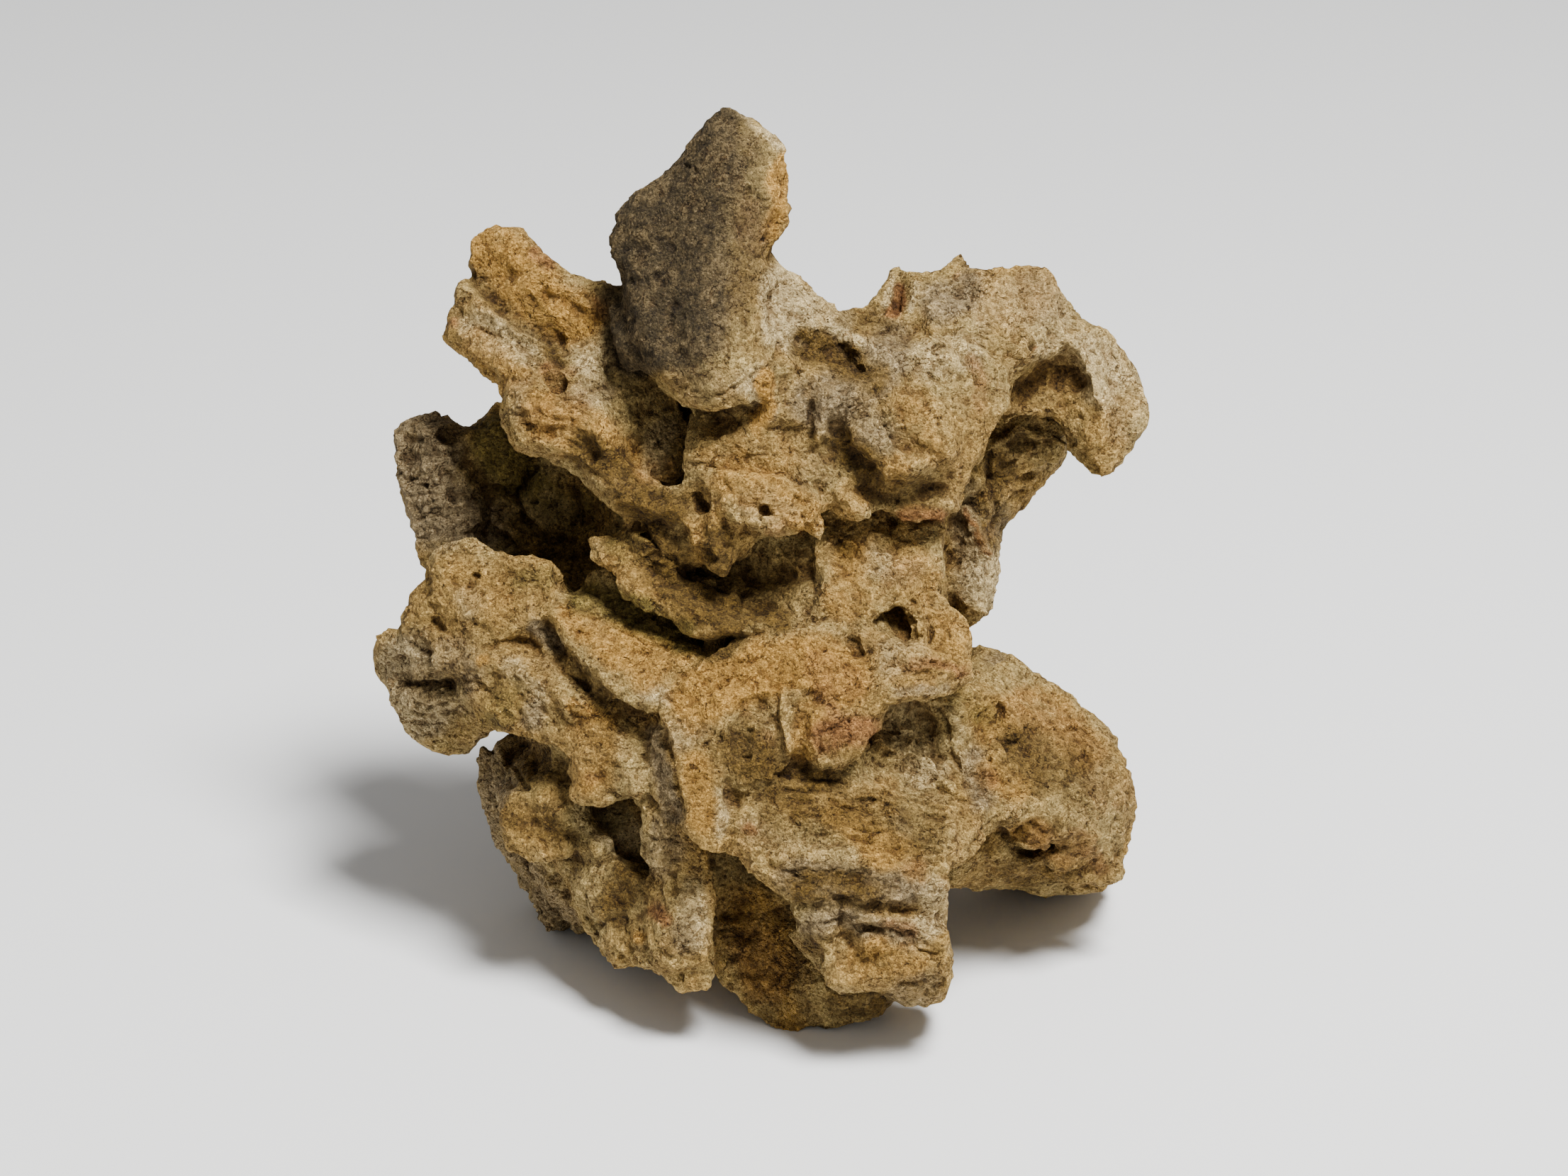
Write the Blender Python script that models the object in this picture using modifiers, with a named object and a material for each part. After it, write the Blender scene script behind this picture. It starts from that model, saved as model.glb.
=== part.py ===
"""A gnarled limestone rock that stands on its own feet.

The rock is one piece. Its forms are laid out as they are seen from the front, in millimetres:
u runs to the right, v runs up, and w comes towards a viewer who looks down on the rock by
VIEW_TILT from VIEW_DISTANCE away. Each form is a few rough stones wrapped in a tight skin. One
remeshed skin goes round them all, the hollows are cut out of it, and it is weathered and thinned.
The finished rock is turned upright, cut level under its feet and set on the ground.
"""

import math
import random

import bmesh
import bpy
from mathutils import Euler, Matrix, Vector

MM = 0.001
VIEW_TILT = math.radians(25)
VIEW_DISTANCE = 1000.0
# The level that the feet are cut at, in millimetres below the picture's middle.
GROUND = -100.0
GROUND_BLOCK = 400.0
# The edge of one square of the remeshed skin, of the rock and of what is cut out of it.
GRAIN = 1.25
CUTTER_GRAIN = 0.625
# How much each stone is grown, to make up for what the smoothing takes off.
WEAR = 0.45
SMOOTHING_ROUNDS = 1
SMOOTHING_STRENGTH = 0.5
# A stone of at least this radius is made of finer facets.
BIG_STONE = 7.0
STONE_SEED = 7
HOLLOW_SEED = 11
LUMP_SIZE = 15.0
LUMP_HEIGHT = 2.2
PIT_SIZE = 7.0
PIT_DEPTH = 1.3
TRIANGLES = 9500
STONE_COLOUR = (0.33, 0.215, 0.095, 1.0)
STONE_ROUGHNESS = 0.92


def seen_at(u, v, w):
    """The place, in millimetres, that is seen at (u, v) on the picture plane and lies w nearer."""
    nearer = 1 - w / VIEW_DISTANCE
    return Vector((u * nearer, -w, v * nearer))


class Rubble:
    """Rough stones gathered in one mesh. They overlap, and a remesh makes one skin of them."""

    def __init__(self, seed):
        self.mesh = bmesh.new()
        self.chance = random.Random(seed)

    def pebble(self, shape, place, radius):
        """Adds the corners of a small rough stone to the hull that is being made."""
        turn = Euler([self.chance.uniform(0, math.tau) for _ in range(3)]).to_matrix().to_4x4()
        where = Matrix.Translation(place) @ turn
        fineness = 2 if radius >= BIG_STONE else 1
        bmesh.ops.create_icosphere(shape, subdivisions=fineness, radius=radius + WEAR, matrix=where)

    def hull(self, pebbles):
        """Adds the tight skin round a few pebbles, each a place and a radius."""
        shape = bmesh.new()
        for place, radius in pebbles:
            self.pebble(shape, place, radius)
        made = bmesh.ops.convex_hull(shape, input=shape.verts)
        inner = [part for part in made["geom_interior"] if isinstance(part, bmesh.types.BMVert)]
        bmesh.ops.delete(shape, geom=inner, context="VERTS")
        bmesh.ops.recalc_face_normals(shape, faces=shape.faces)
        skin = bpy.data.meshes.new("skin")
        shape.to_mesh(skin)
        shape.free()
        self.mesh.from_mesh(skin)
        bpy.data.meshes.remove(skin)

    def boulder(self, depth, *corners, taper=0.85, level=0.0):
        """A block. Each corner is (u, v, w of its front, radius), and its back lies depth behind.

        With level 1 the block runs back along the ground, and with level 0 along the line of sight.
        """
        lift = level * depth * math.tan(VIEW_TILT)
        middle_u = sum(corner[0] for corner in corners) / len(corners)
        middle_v = sum(corner[1] for corner in corners) / len(corners)
        pebbles = []
        for u, v, front, radius in corners:
            pebbles.append((seen_at(u, v, front - radius), radius))
            back_u = middle_u + (u - middle_u) * taper
            back_v = middle_v + (v - middle_v) * taper + lift
            back_w = front - max(depth - radius, radius)
            pebbles.append((seen_at(back_u, back_v, back_w), radius))
        self.hull(pebbles)

    def limb(self, *stations):
        """A knobbly arm through stations of (u, v, w of its middle, radius)."""
        pebbles = [(seen_at(u, v, w), radius) for u, v, w, radius in stations]
        for pair in zip(pebbles, pebbles[1:]):
            self.hull(pair)

    def lump(self, u, v, w, radius):
        """A single rough stone."""
        self.hull([(seen_at(u, v, w), radius)])

    def gathered(self, name, collection):
        """The stones as one object, in metres."""
        mesh = bpy.data.meshes.new(name)
        self.mesh.to_mesh(mesh)
        self.mesh.free()
        mesh.transform(Matrix.Scale(MM, 4))
        made = bpy.data.objects.new(name, mesh)
        collection.objects.link(made)
        return made


def core(rock):
    """The hidden bulk that carries everything else."""
    rock.boulder(
        46, (-18, 50, 4, 10), (20, 42, 14, 14), (45, 46, 4, 13), (0, 25, 12, 12), (30, 20, 10, 12),
    )
    rock.boulder(
        24, (-50, 46, -2, 6), (-18, 50, 2, 8), (-14, 24, 8, 8), (-34, 24, 2, 6), (-46, 32, -4, 6),
    )
    rock.boulder(
        24, (-44, 30, -16, 6), (-14, 26, -2, 8), (-10, -12, 0, 8), (-26, -12, -2, 6), (-36, 6, -10, 6),
    )
    rock.limb((28, 18, -10, 17), (28, -8, -10, 18), (24, -34, -8, 22))
    rock.boulder(
        22, (-56, -8, -4, 5), (-20, -18, 8, 5), (-14, -40, 16, 8), (-44, -44, 8, 8), (-62, -30, -6, 6),
    )
    rock.boulder(
        18, (-54, -14, 8, 4), (-40, -24, 16, 4), (-24, -32, 22, 4), (-12, -26, 20, 4),
        (-28, -42, 20, 5),
    )
    rock.boulder(20, (-8, -10, 4, 5), (12, -8, 6, 6), (8, -22, 10, 6), (-10, -24, 10, 5))
    rock.boulder(
        64, (-15, -52, 6, 12), (30, -50, 2, 12), (-34, -70, -6, 10), (8, -88, -8, 10), (30, -88, 8, 10),
        level=0.9,
    )
    rock.boulder(40, (-38, -58, 1, 5), (-12, -64, 6, 7), (-10, -88, -2, 7), (-32, -86, 4, 7), level=0.9)
    rock.boulder(
        34, (6, -44, 6, 10), (30, -36, -6, 10), (50, -40, -16, 9), (40, -60, 0, 9), (14, -62, 14, 9),
    )


def dark_horn(rock):
    """The blunt dark finger at the top, with a soft ridge down its front."""
    rock.boulder(
        20, (-9, 111, 32, 3), (-13.5, 106.5, 31, 3), (0, 105, 33, 3.5), (3.3, 100, 33, 3.3),
        (-17, 99, 32, 3.5), (3, 93, 34, 3), (-8, 100, 38, 4), taper=0.8,
    )
    rock.boulder(
        26, (-17, 99, 32, 3.5), (-22.5, 96, 30, 3), (-31.5, 87, 29, 3.5), (-34.3, 80, 30, 3.3),
        (3, 94, 34, 3), (4.3, 89, 33, 2.8), (-1.5, 80, 35, 3.5), (-31, 75, 32, 3.5), (-9, 92, 40, 4),
        (-11, 80, 41, 5),
    )
    rock.boulder(
        30, (-31, 77, 32, 3.5), (-31, 66, 34, 3), (-30, 60, 35, 3), (-27, 53, 36, 3.5),
        (-1.5, 79, 35, 3.5), (-3, 62, 38, 3.5), (-12, 76, 41, 5), (-12, 60, 43, 5), (-19, 50, 40, 4),
    )
    rock.boulder(
        24, (-30.5, 60, 36, 2.6), (-28.5, 53, 37, 2.6), (-24.5, 49, 38, 2.4), (-18.5, 43, 39, 2.4),
        (-11, 41.6, 42, 2.2), (-4, 42.2, 42, 2.2), (0, 48, 40, 2.2), (-1, 60, 38, 3), (-12, 54, 45, 4),
        taper=0.75,
    )
    rock.limb((-33, 63, 24, 3), (-33.5, 57, 24, 3.5), (-31, 51, 24, 3.5))


def horn_skirt(rock):
    """The ochre slope that runs from the horn's right side down to the saddle, and its collar."""
    rock.boulder(
        20, (1.5, 75, 26, 2.6), (4, 70.5, 24, 3), (9, 65.5, 20, 3.4), (5, 60, 26, 3.5), (-1, 60, 32, 4),
        (2, 50, 34, 3.5),
    )
    rock.boulder(
        24, (-14, 38, 23, 4), (-3, 38, 27, 4), (6, 42, 30, 4), (11, 32, 32, 5), (2, 27, 33, 4),
        (-12, 27, 30, 4),
    )
    rock.limb((0.8, 47, 34, 2), (3.4, 42, 35, 2.4), (3.4, 36.5, 33, 2.2))
    rock.limb((10, 46, 29, 4), (12, 38, 31, 4), (14, 30, 31, 4))


def left_arm(rock):
    """The fan of ochre stone that reaches up to the left, behind the horn, with its groove."""
    rock.boulder(
        13, (-75.4, 57.6, 9, 2.8), (-73.4, 65, 8, 2.8), (-66, 66, 11, 2.6), (-57, 55, 15, 3),
        (-62, 49.5, 15, 3.5), (-67, 51, 12, 3),
    )
    rock.boulder(
        15, (-69, 81, 7, 3.6), (-61, 81.5, 7, 3.6), (-70.5, 72, 8, 2.8), (-55, 74, 9, 3),
        (-50, 68, 10, 3.5), (-52, 60, 11, 3), (-62, 66, 8, 3),
    )
    rock.boulder(
        16, (-51, 68.5, 10, 3), (-38, 67, 12, 3.6), (-34, 52, 14, 4), (-44, 50, 14, 4),
        (-54, 60, 10, 3.5), (-40, 45, 14, 4),
    )
    rock.boulder(10, (-66, 72, 3, 4), (-48, 64, 6, 5), (-46, 50, 8, 5), (-60, 54, 6, 4))
    rock.limb((-61, 82, 6, 3), (-56, 75.5, 7, 3), (-48, 69.5, 8, 2.8), (-36, 67.5, 9, 3.5))
    rock.limb((-70, 79, 2, 3), (-66, 70, 1, 4), (-58, 60, 3, 4), (-50, 52, 5, 4.5))


def left_shoulder(rock):
    """The rounded lobe under the left arm, its curled lip, and the web that runs to the nose."""
    rock.boulder(
        20, (-60, 46, 18, 4), (-60.5, 39, 22, 3.5), (-58, 33.5, 23, 3), (-52, 34, 26, 3),
        (-46, 36, 28, 4), (-47, 45, 22, 4), (-55, 40, 28, 4),
    )
    rock.limb((-60.5, 38, 14, 2.6), (-58, 31, 15, 2.8), (-52, 28.5, 16, 2.2), (-46, 27, 17, 2.2))
    rock.boulder(
        18, (-46, 43, 22, 4), (-45, 33, 26, 3), (-40, 27, 27, 3), (-36, 20, 27, 3), (-32, 24, 26, 3.5),
        (-33, 34, 22, 4), (-38, 44, 18, 4),
    )
    rock.limb((-44, 25.5, 16, 2.2), (-39, 20, 18, 2.2), (-36, 15, 20, 2.4))
    rock.limb(
        (-34, 21, 22, 3), (-27, 17.5, 25, 3), (-19, 18, 28, 2.6), (-14, 24, 29, 3), (-14, 31, 27, 3),
    )
    rock.boulder(
        14, (-33, 15, 24, 2.4), (-26, 16, 27, 2.8), (-19, 15, 29, 2.8), (-28, 8, 25, 2.2),
        (-21, 0, 26, 2), (-17, 4, 27, 2.4),
    )


def nose(rock):
    """The pitted knob that juts out under the horn, with its fang and its spur."""
    rock.boulder(
        22, (-11, 22, 34, 3), (-7.5, 15.5, 37, 2.8), (0, 12.5, 39, 2.6), (6, 11.5, 39, 2.4),
        (11, 14, 37, 2.6), (12, 24, 33, 4), (0, 27, 34, 4), (-1, 18, 41, 3),
    )
    rock.limb((12.5, 15, 32, 3), (14, 8.3, 32, 1.2))
    rock.boulder(
        14, (-15, 8, 33, 2), (-13, 14, 33, 2.6), (-6, 11, 35, 3), (-3, 7, 32, 2.6), (-10, 0.2, 33, 1.6),
    )
    rock.limb((-14.5, 12, 28, 2.6), (-16.3, 6.5, 29, 1.4))


def ragged_plate(rock):
    """The thin plate with a torn edge that hangs out under the nose, and the cavity above it."""
    rock.boulder(
        8, (-41, 7.4, 20, 1.8), (-40.4, 3.6, 22, 1.6), (-34, 0.6, 24, 1.6), (-26, 4, 22, 2),
        (-28, 9, 16, 2.2),
    )
    rock.boulder(
        7, (-33, -4.5, 26, 1.4), (-27, -6.6, 27, 1.4), (-20.5, -9.6, 29, 1.4), (-14.5, -14.6, 30, 1.4),
        (-9, -14, 30, 1.4), (-14, -4, 22, 2.4), (-27, 0, 20, 2.4),
    )
    rock.boulder(
        7, (-9, -13.2, 30, 1.4), (-4, -13.6, 30, 1.4), (3, -13, 28, 1.4), (10, -10.8, 26, 1.6),
        (12, -4, 16, 2.6), (-8, -4, 18, 2.6),
    )
    rock.limb((-24, 4, 8, 6), (-4, 2, 6, 8), (14, 4, 4, 8))
    rock.limb((3, -4, 18, 3), (7, -7, 21, 3.4), (11, -5, 20, 3))
    rock.limb((-12, -13, 24, 1.8), (-11, -22, 18, 2.2))


def right_lobe(rock):
    """The broad lumpy mass at the upper right, with its crest of small spikes."""
    rock.boulder(
        40, (12, 50, 22, 6), (28, 57, 18, 5), (50, 60, 14, 6), (56, 50, 18, 4.5), (54, 40, 25, 4),
        (42, 18, 28, 3.5), (34, 17.5, 29, 3.5), (22, 21, 33, 4), (10, 30, 31, 5), (30, 38, 35, 8),
        (44, 36, 31, 6),
    )
    rock.boulder(
        30, (35, 68.5, 4, 3.2), (44, 69, 4, 3.5), (53, 69, 4, 3.5), (62, 70.5, 3, 3.4),
        (68, 71, 2, 3.4), (72, 65, 2, 3.6), (60, 50, 16, 5), (66, 54, 12, 4.5), (44, 54, 20, 6),
        (34, 58, 16, 5),
    )
    rock.limb((1, 70, 20, 3.5), (8, 62, 18, 4), (17, 59.8, 16, 4), (25, 61.5, 12, 4.2), (31, 65, 6, 4))
    rock.limb((16, 60, 21, 3), (24, 55.5, 24, 3), (31, 50, 27, 3))
    rock.limb((37, 70, 2, 3), (34.5, 72, 3, 2), (33, 73.8, 4, 1.2))
    rock.limb((38, 70, 6, 3), (37, 63, 12, 3), (36, 58, 16, 3))
    rock.limb((47.5, 69, 3, 4.5), (48, 73.5, 3, 2.6), (49, 77, 3, 1.1))
    rock.limb((27, 43, 33, 4), (20, 42, 31, 3.4), (17.5, 36, 31, 3.2), (17.5, 30, 31, 2.6))
    rock.limb((28, 43, 34, 4.5), (31, 34, 35, 4.6), (34, 25.5, 34, 3.4))
    rock.limb((40, 44, 29, 5.5), (44, 34, 28, 5.5), (43, 24, 27, 4.5), (45.5, 18.5, 24, 4))
    rock.limb((54, 44, 20, 4), (56, 39, 18, 3), (50, 28, 20, 3))
    rock.limb((20, 20, 30, 3.4), (18.6, 14.6, 28, 2.4), (24, 14.2, 27, 2.2))
    rock.limb((28, 19, 29, 3), (33, 15, 26, 2.2), (44, 14.8, 26, 2.2))
    rock.limb((60, 64, 8, 4.5), (66, 60, 8, 4.5), (64, 52, 12, 4.5))


def right_arm(rock):
    """The hooked arm that hangs down at the far right."""
    rock.boulder(
        20, (72, 62, 4, 3.5), (77.5, 59, 4, 3.4), (83, 57, 2, 3.4), (87, 52, 2, 3.2), (90, 47, 2, 3.2),
        (92.3, 38, 2, 3.2), (82, 44, 8, 4), (76, 52, 7, 4),
    )
    rock.boulder(
        18, (92.3, 37, 2, 3), (90, 33, 3, 3), (85.5, 28.5, 4, 3), (83, 25.5, 3, 2.6), (80, 30, 4, 2.8),
        (79, 40, 7, 4), (84, 44, 7, 4),
    )
    rock.limb((78, 48, 4, 3.4), (76, 38, 0, 3), (78.5, 29, -2, 2.6))
    rock.boulder(14, (64, 54, -1, 4), (80, 54, -2, 4), (79, 42, -4, 3), (70, 43, -6, 3))
    rock.boulder(
        20, (60, 50, 8, 4), (70, 56, 4, 4), (68, 43.5, -4, 3.2), (62, 42, 2, 3.2), (64, 60, 8, 5),
    )
    rock.limb((60, 40.5, 6, 3), (67, 43, 2, 2.4), (72, 41, -2, 2.4), (75, 36, -4, 2.4))


def right_back(rock):
    """The rough wall that shows behind, under the right arm, in hanging folds."""
    rock.boulder(
        26, (58, 42, -16, 4), (72, 42, -22, 4), (73, 30, -22, 2.8), (69, 26, -20, 2.8),
        (64.5, 21, -20, 2.8), (59.5, 16, -17, 2.8), (52, 22, -12, 4), (50, 34, -12, 4),
    )
    rock.boulder(
        24, (50, 22, -12, 4), (58, 15, -16, 2.6), (54, 8, -13, 2.6), (53, -2, -12, 2.6),
        (53.6, -9.2, -13, 2), (49.5, -12.5, -15, 2.6), (44, 0, -10, 4), (46, 12, -8, 4),
    )
    rock.limb((53, 28, -10, 3), (52.5, 22, -8, 2.4), (52, 19.5, -8, 1.4))
    rock.limb(
        (62, 29, -14, 3), (59, 20, -12, 2.6), (54, 12, -9, 2.4), (53.4, 2, -9, 2.4), (52, -8, -12, 2.4),
    )


def neck(rock):
    """The waist that carries the top of the rock, with the strut beside its window."""
    rock.boulder(
        28, (18, 9, 12, 4.5), (40, 9, 8, 4.5), (41, 1, 10, 3.6), (18, -3, 14, 3.5), (38, -6, 16, 4),
        (20, -10, 24, 4), (28, 2, 14, 5),
    )
    rock.limb((39.5, -4, 12, 3.8), (43, -11, 18, 3.6), (47.5, -19, 24, 3.6))
    rock.limb((36, -7, 16, 1.8), (39, -13, 20, 1.8), (41.5, -18, 24, 2))
    rock.limb((17, -2, 12, 4), (19, -10, 20, 5), (24, -18, 26, 5))


def bridge(rock):
    """The golden mass in front: its foot on the left, its blunt point on the right."""
    rock.boulder(
        26, (-25.5, -40, 24, 3), (-17, -33, 25, 3.4), (-24, -52, 27, 3), (-20, -60, 32, 2.8),
        (-11.5, -66.6, 33, 2.8), (-9, -58, 35, 3), (-2, -52, 31, 3.5), (-2, -32, 32, 5),
        (-14, -44, 37, 3.6), (-12, -56, 37, 3),
    )
    rock.boulder(
        32, (-7, -24, 26, 4), (2, -20, 25, 3.6), (13, -15.5, 24, 3.6), (26, -14.5, 22, 4),
        (30, -27, 31, 4), (16, -28, 36, 5), (0, -46, 31, 4), (12, -43, 34, 3.6), (24, -38, 31, 3),
    )
    rock.boulder(
        18, (26, -19, 27, 4), (30, -27, 31, 3.4), (49.5, -25, 24, 2.2), (46.5, -21.5, 22, 2.8),
        (37, -27.8, 29, 2.6),
    )
    rock.boulder(20, (14, -38, 37, 2.2), (23, -40, 34, 2), (15.5, -46, 35, 2), (21, -44.5, 34, 2))
    rock.limb((4, -33, 33, 3), (6.5, -40, 34, 2.4), (7.5, -45, 33, 1.8))
    rock.limb((-3, -46, 30, 3), (-4, -54, 28, 3), (-7, -62, 28, 3))


def left_back(rock):
    """The grey block at the far left, and the shaded wall that joins it to the middle."""
    rock.boulder(
        26, (-86.5, 34.8, -18, 2.8), (-78, 35, -16, 2.8), (-88.5, 30, -18, 2.8), (-80, 22, -13, 4),
        (-83, 12, -16, 3), (-81, 3, -18, 2.8), (-73, 8, -15, 4), (-71, 28, -18, 4),
    )
    rock.boulder(
        20, (-72, 32, -26, 3), (-64, 38, -28, 3), (-50, 38, -24, 4), (-42, 14, -20, 3.5),
        (-56, 10, -22, 3.5), (-70, 10, -20, 4), (-36, 38, -14, 4),
    )
    rock.boulder(
        18, (-78, 4, -18, 3.5), (-60, 12, -24, 3), (-40, 12, -20, 3), (-30, 2, -14, 4),
        (-38, -12, -14, 4), (-60, -10, -14, 4), (-76, -6, -14, 4),
    )
    rock.limb((-72, 34, -18, 3), (-66, 28, -18, 3), (-60, 22, -20, 3))
    rock.limb((-60, 8, -14, 2.4), (-52, 6, -15, 2), (-44, 8, -14, 2.4))


def lower_left_arm(rock):
    """The long arm that reaches out at the left, under a gap, and the tongue that lies on it."""
    rock.boulder(
        26, (-77.5, 2, 2, 3.4), (-73, 3, 4, 3), (-66, 1.5, 6, 2.6), (-60, -0.6, 7, 2.6),
        (-52.5, -2, 7, 2.2), (-82, -6.5, 1, 3), (-83, -13, 3, 3), (-62, -16, 15, 4), (-75, -16, 9, 4),
        (-50, -12, 13, 3.5),
    )
    rock.boulder(
        28, (-77, -21, 9, 4), (-62, -23, 16, 4.5), (-50, -24, 18, 4.5), (-60, -36.5, 13, 3.4),
        (-50, -37.5, 17, 3.4), (-70, -33, 7, 4), (-38, -34, 22, 5), (-38, -42, 22, 4),
    )
    rock.boulder(
        26, (-93, -18.5, -8, 2.6), (-86, -17.5, -3, 2.6), (-90, -28, -8, 3), (-87, -35, -8, 3),
        (-83, -40.5, -8, 3), (-78, -42, -9, 3), (-74, -43, -10, 2.6), (-70, -37, -3, 3.4),
        (-78, -26, 2, 4),
    )
    rock.limb((-84, -8, -4, 3), (-86, -13, -4, 3), (-86, -20, -3, 3.4))
    rock.boulder(
        9, (-47, -9, 14, 2.4), (-45, -17, 20, 2.4), (-39, -24.5, 25, 2.2), (-30, -30.5, 29, 2.2),
        (-22, -31, 29, 2.4), (-17, -24, 25, 2.6), (-30, -13, 16, 3), (-20, -18, 20, 3),
    )
    rock.boulder(
        20, (-42, -8, 6, 3), (-32, -7, 6, 3), (-20, -12, 9, 4), (-15, -21, 12, 4), (-34, -16, 12, 4),
    )
    rock.boulder(
        24, (-43.5, -46, 22, 3), (-42, -53.5, 24, 3), (-37.5, -53.5, 24, 3), (-31, -42, 24, 4),
        (-30, -53, 22, 3), (-44, -38, 20, 4),
    )


def pillar(rock):
    """The pale post under the bridge's foot."""
    rock.boulder(
        20, (-26, -56, 22, 3), (-18, -60, 26, 3), (-26, -70, 20, 2.8), (-18, -71, 24, 3),
        (-14, -66, 24, 3),
    )
    rock.boulder(
        22, (-21, -70, 23, 3), (-16, -74, 25, 2.6), (-21, -84, 25, 3), (-15.5, -84, 27, 2.4),
        (-24, -94, 25, 3), (-15.5, -96, 26, 2.6), (-26, -86, 21, 2.6),
    )
    rock.limb((-30, -95, 14, 3.4), (-25, -97.5, 17, 3.6), (-18.5, -101, 18, 4), (-15, -99, 18, 3.4))


def lower_left(rock):
    """The shoulder of lumps at the lower left and the grey flank behind it, which is a foot."""
    rock.boulder(
        26, (-60.5, -59.5, 4, 3.4), (-59.5, -66, 6, 3.2), (-52, -67.5, 9, 3.2), (-46, -62, 12, 3.4),
        (-49, -50, 5, 4), (-59, -49, -4, 4), (-54, -58, 12, 4),
    )
    rock.limb((-46, -64, 6, 4), (-41, -67.5, 8, 3.4), (-38, -68, 8, 2.4))
    rock.boulder(
        30, (-46, -72, 4, 3.4), (-39, -74, 11, 3.4), (-30, -77, 13, 3), (-27, -84, 14, 3),
        (-30, -94, 13, 3), (-36, -93.5, 10, 3.4), (-43, -84, 6, 3.4),
    )
    rock.boulder(
        26, (-66, -46.5, -22, 3), (-66, -56, -22, 3), (-63.5, -64, -23, 3), (-60, -70, -24, 3),
        (-55, -76, -26, 3), (-52, -83, -28, 3), (-49, -87, -30, 3), (-43, -87.5, -28, 3),
        (-40, -60, -14, 6), (-54, -40, -12, 4),
    )
    rock.limb(
        (-64, -44, -16, 3), (-62, -56, -14, 3), (-56, -68, -14, 3), (-50, -80, -20, 3.4),
        (-44, -87, -24, 3),
    )
    rock.limb((-46, -76, -16, 9), (-48, -82, -36, 8), (-48, -84, -46, 7))


def bottom_keel(rock):
    """The shaded keel at the very bottom, which is the front foot."""
    rock.boulder(
        36, (-8, -74, -2, 4), (8, -76, -2, 4), (-9, -98, 4, 3.4), (-3, -103, 5, 3.2), (2, -106, 6, 3.2),
        (5, -111, 6, 3.2), (10, -112, 7, 3), (14, -101, 6, 4), (6, -90, 4, 4), level=0.9,
    )
    rock.boulder(
        26, (8, -110, 7, 3), (14, -110.5, 6, 2.8), (24, -109.5, 5, 2.8), (31, -106, 6, 2.8),
        (24, -98, 10, 4), (12, -100, 10, 4), level=0.9,
    )
    rock.boulder(
        30, (0, -103, 4, 4), (20, -104, 4, 4), (16, -109.5, 5, 4), (5, -109.5, 5, 4), level=1.0,
    )


def lower_slab(rock):
    """The table-like slab that slopes away to the right, with the curled ridge of its hollow."""
    rock.boulder(
        15, (-3, -60, 34, 2.8), (-5, -67, 37, 2.6), (0, -72, 39, 2.6), (6, -77, 41, 2.4),
        (12, -79.5, 41, 2.4), (28, -77, 40, 2.6), (42, -72, 32, 3), (50, -66, 24, 3), (54, -60, 16, 3),
        (4, -52, 26, 3), (34, -52, 12, 3),
    )
    rock.boulder(
        20, (50, -62, 18, 3.4), (58, -58, 12, 3), (70, -57, 6, 3), (82, -60, 2, 2.8),
        (88, -53, -5, 2.8), (86, -46, -12, 3), (81, -38, -20, 3), (71, -31, -28, 3), (60, -23, -36, 3),
        (54, -22, -38, 3), (50, -36, -18, 4), (48, -50, 4, 4),
    )
    rock.boulder(
        22, (54, -22, -38, 3), (30, -34, -12, 5), (46, -50, 2, 5), (28, -52, 10, 5), (60, -34, -22, 5),
    )
    rock.boulder(
        14, (89, -52, -8, 2.6), (90, -56, -10, 2.4), (86.5, -66, -6, 2.6), (80, -62, 0, 3),
        (82, -50, -8, 3),
    )
    rock.limb(
        (38, -33, -4, 3), (46, -32.5, -8, 3.4), (55, -30.5, -18, 3.4), (61, -34, -16, 3),
        (62, -40, -10, 2.6),
    )
    rock.limb((44, -35, -2, 2.4), (47, -41, 4, 2.6), (50, -46, 8, 2.4))
    rock.limb((56, -44, -2, 5), (58, -52, 6, 5), (70, -48, -6, 5))


def right_foot(rock):
    """The piece under the slab's far end: a pocket with round nodules, and the right foot."""
    rock.boulder(
        34, (56, -72, -16, 3), (62, -75.5, -20, 3), (70, -77.5, -26, 3), (79, -76.5, -28, 3),
        (86.5, -73, -26, 3), (88, -66, -22, 3), (80, -60, -14, 4), (60, -62, -8, 4), (50, -68, -4, 4),
    )
    rock.limb((60, -70.5, -10, 3), (68, -72, -10, 3), (76, -71.5, -14, 3), (84, -71, -18, 3))
    rock.boulder(
        26, (44, -74, -2, 4), (52, -74.5, -10, 3), (62, -76, -18, 3), (60, -66, -6, 4), (48, -68, 4, 4),
    )
    rock.lump(66, -65, -3, 4)
    rock.lump(74.5, -70.5, -9, 2.8)
    rock.boulder(28, (62, -66, -36, 6), (78, -66, -40, 6), (76, -71, -46, 6), (62, -71.5, -44, 6))


def lower_leg(rock):
    """The leg under the slab's front edge, which ends in a blocky foot."""
    rock.boulder(
        26, (6, -77, 40, 2.4), (9, -82, 39, 2.6), (14, -87, 33, 3), (20, -90, 30, 3.4),
        (24, -80, 42, 3), (40, -76, 38, 3), (43.5, -80, 34, 3), (43, -86, 29, 3), (30, -87, 34, 3.4),
    )
    rock.boulder(
        22, (18, -100, 32, 2.2), (27, -101, 34, 2), (23, -89, 36, 2.6), (32, -88, 38, 2.4),
        (43, -88.5, 34, 2.6), (45, -93.5, 32, 2.2), (43, -99, 29, 2.4), (33, -99, 33, 2.6),
        (19, -93, 33, 2.6),
    )
    rock.boulder(
        16, (32, -103.5, 22, 2.6), (38, -104.5, 21, 2.6), (43.5, -104, 19, 2.6), (44, -98, 20, 2.6),
        (32, -98, 22, 3),
    )
    rock.limb((11.5, -90, 22, 3.4), (14.5, -94, 22, 3))


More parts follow.
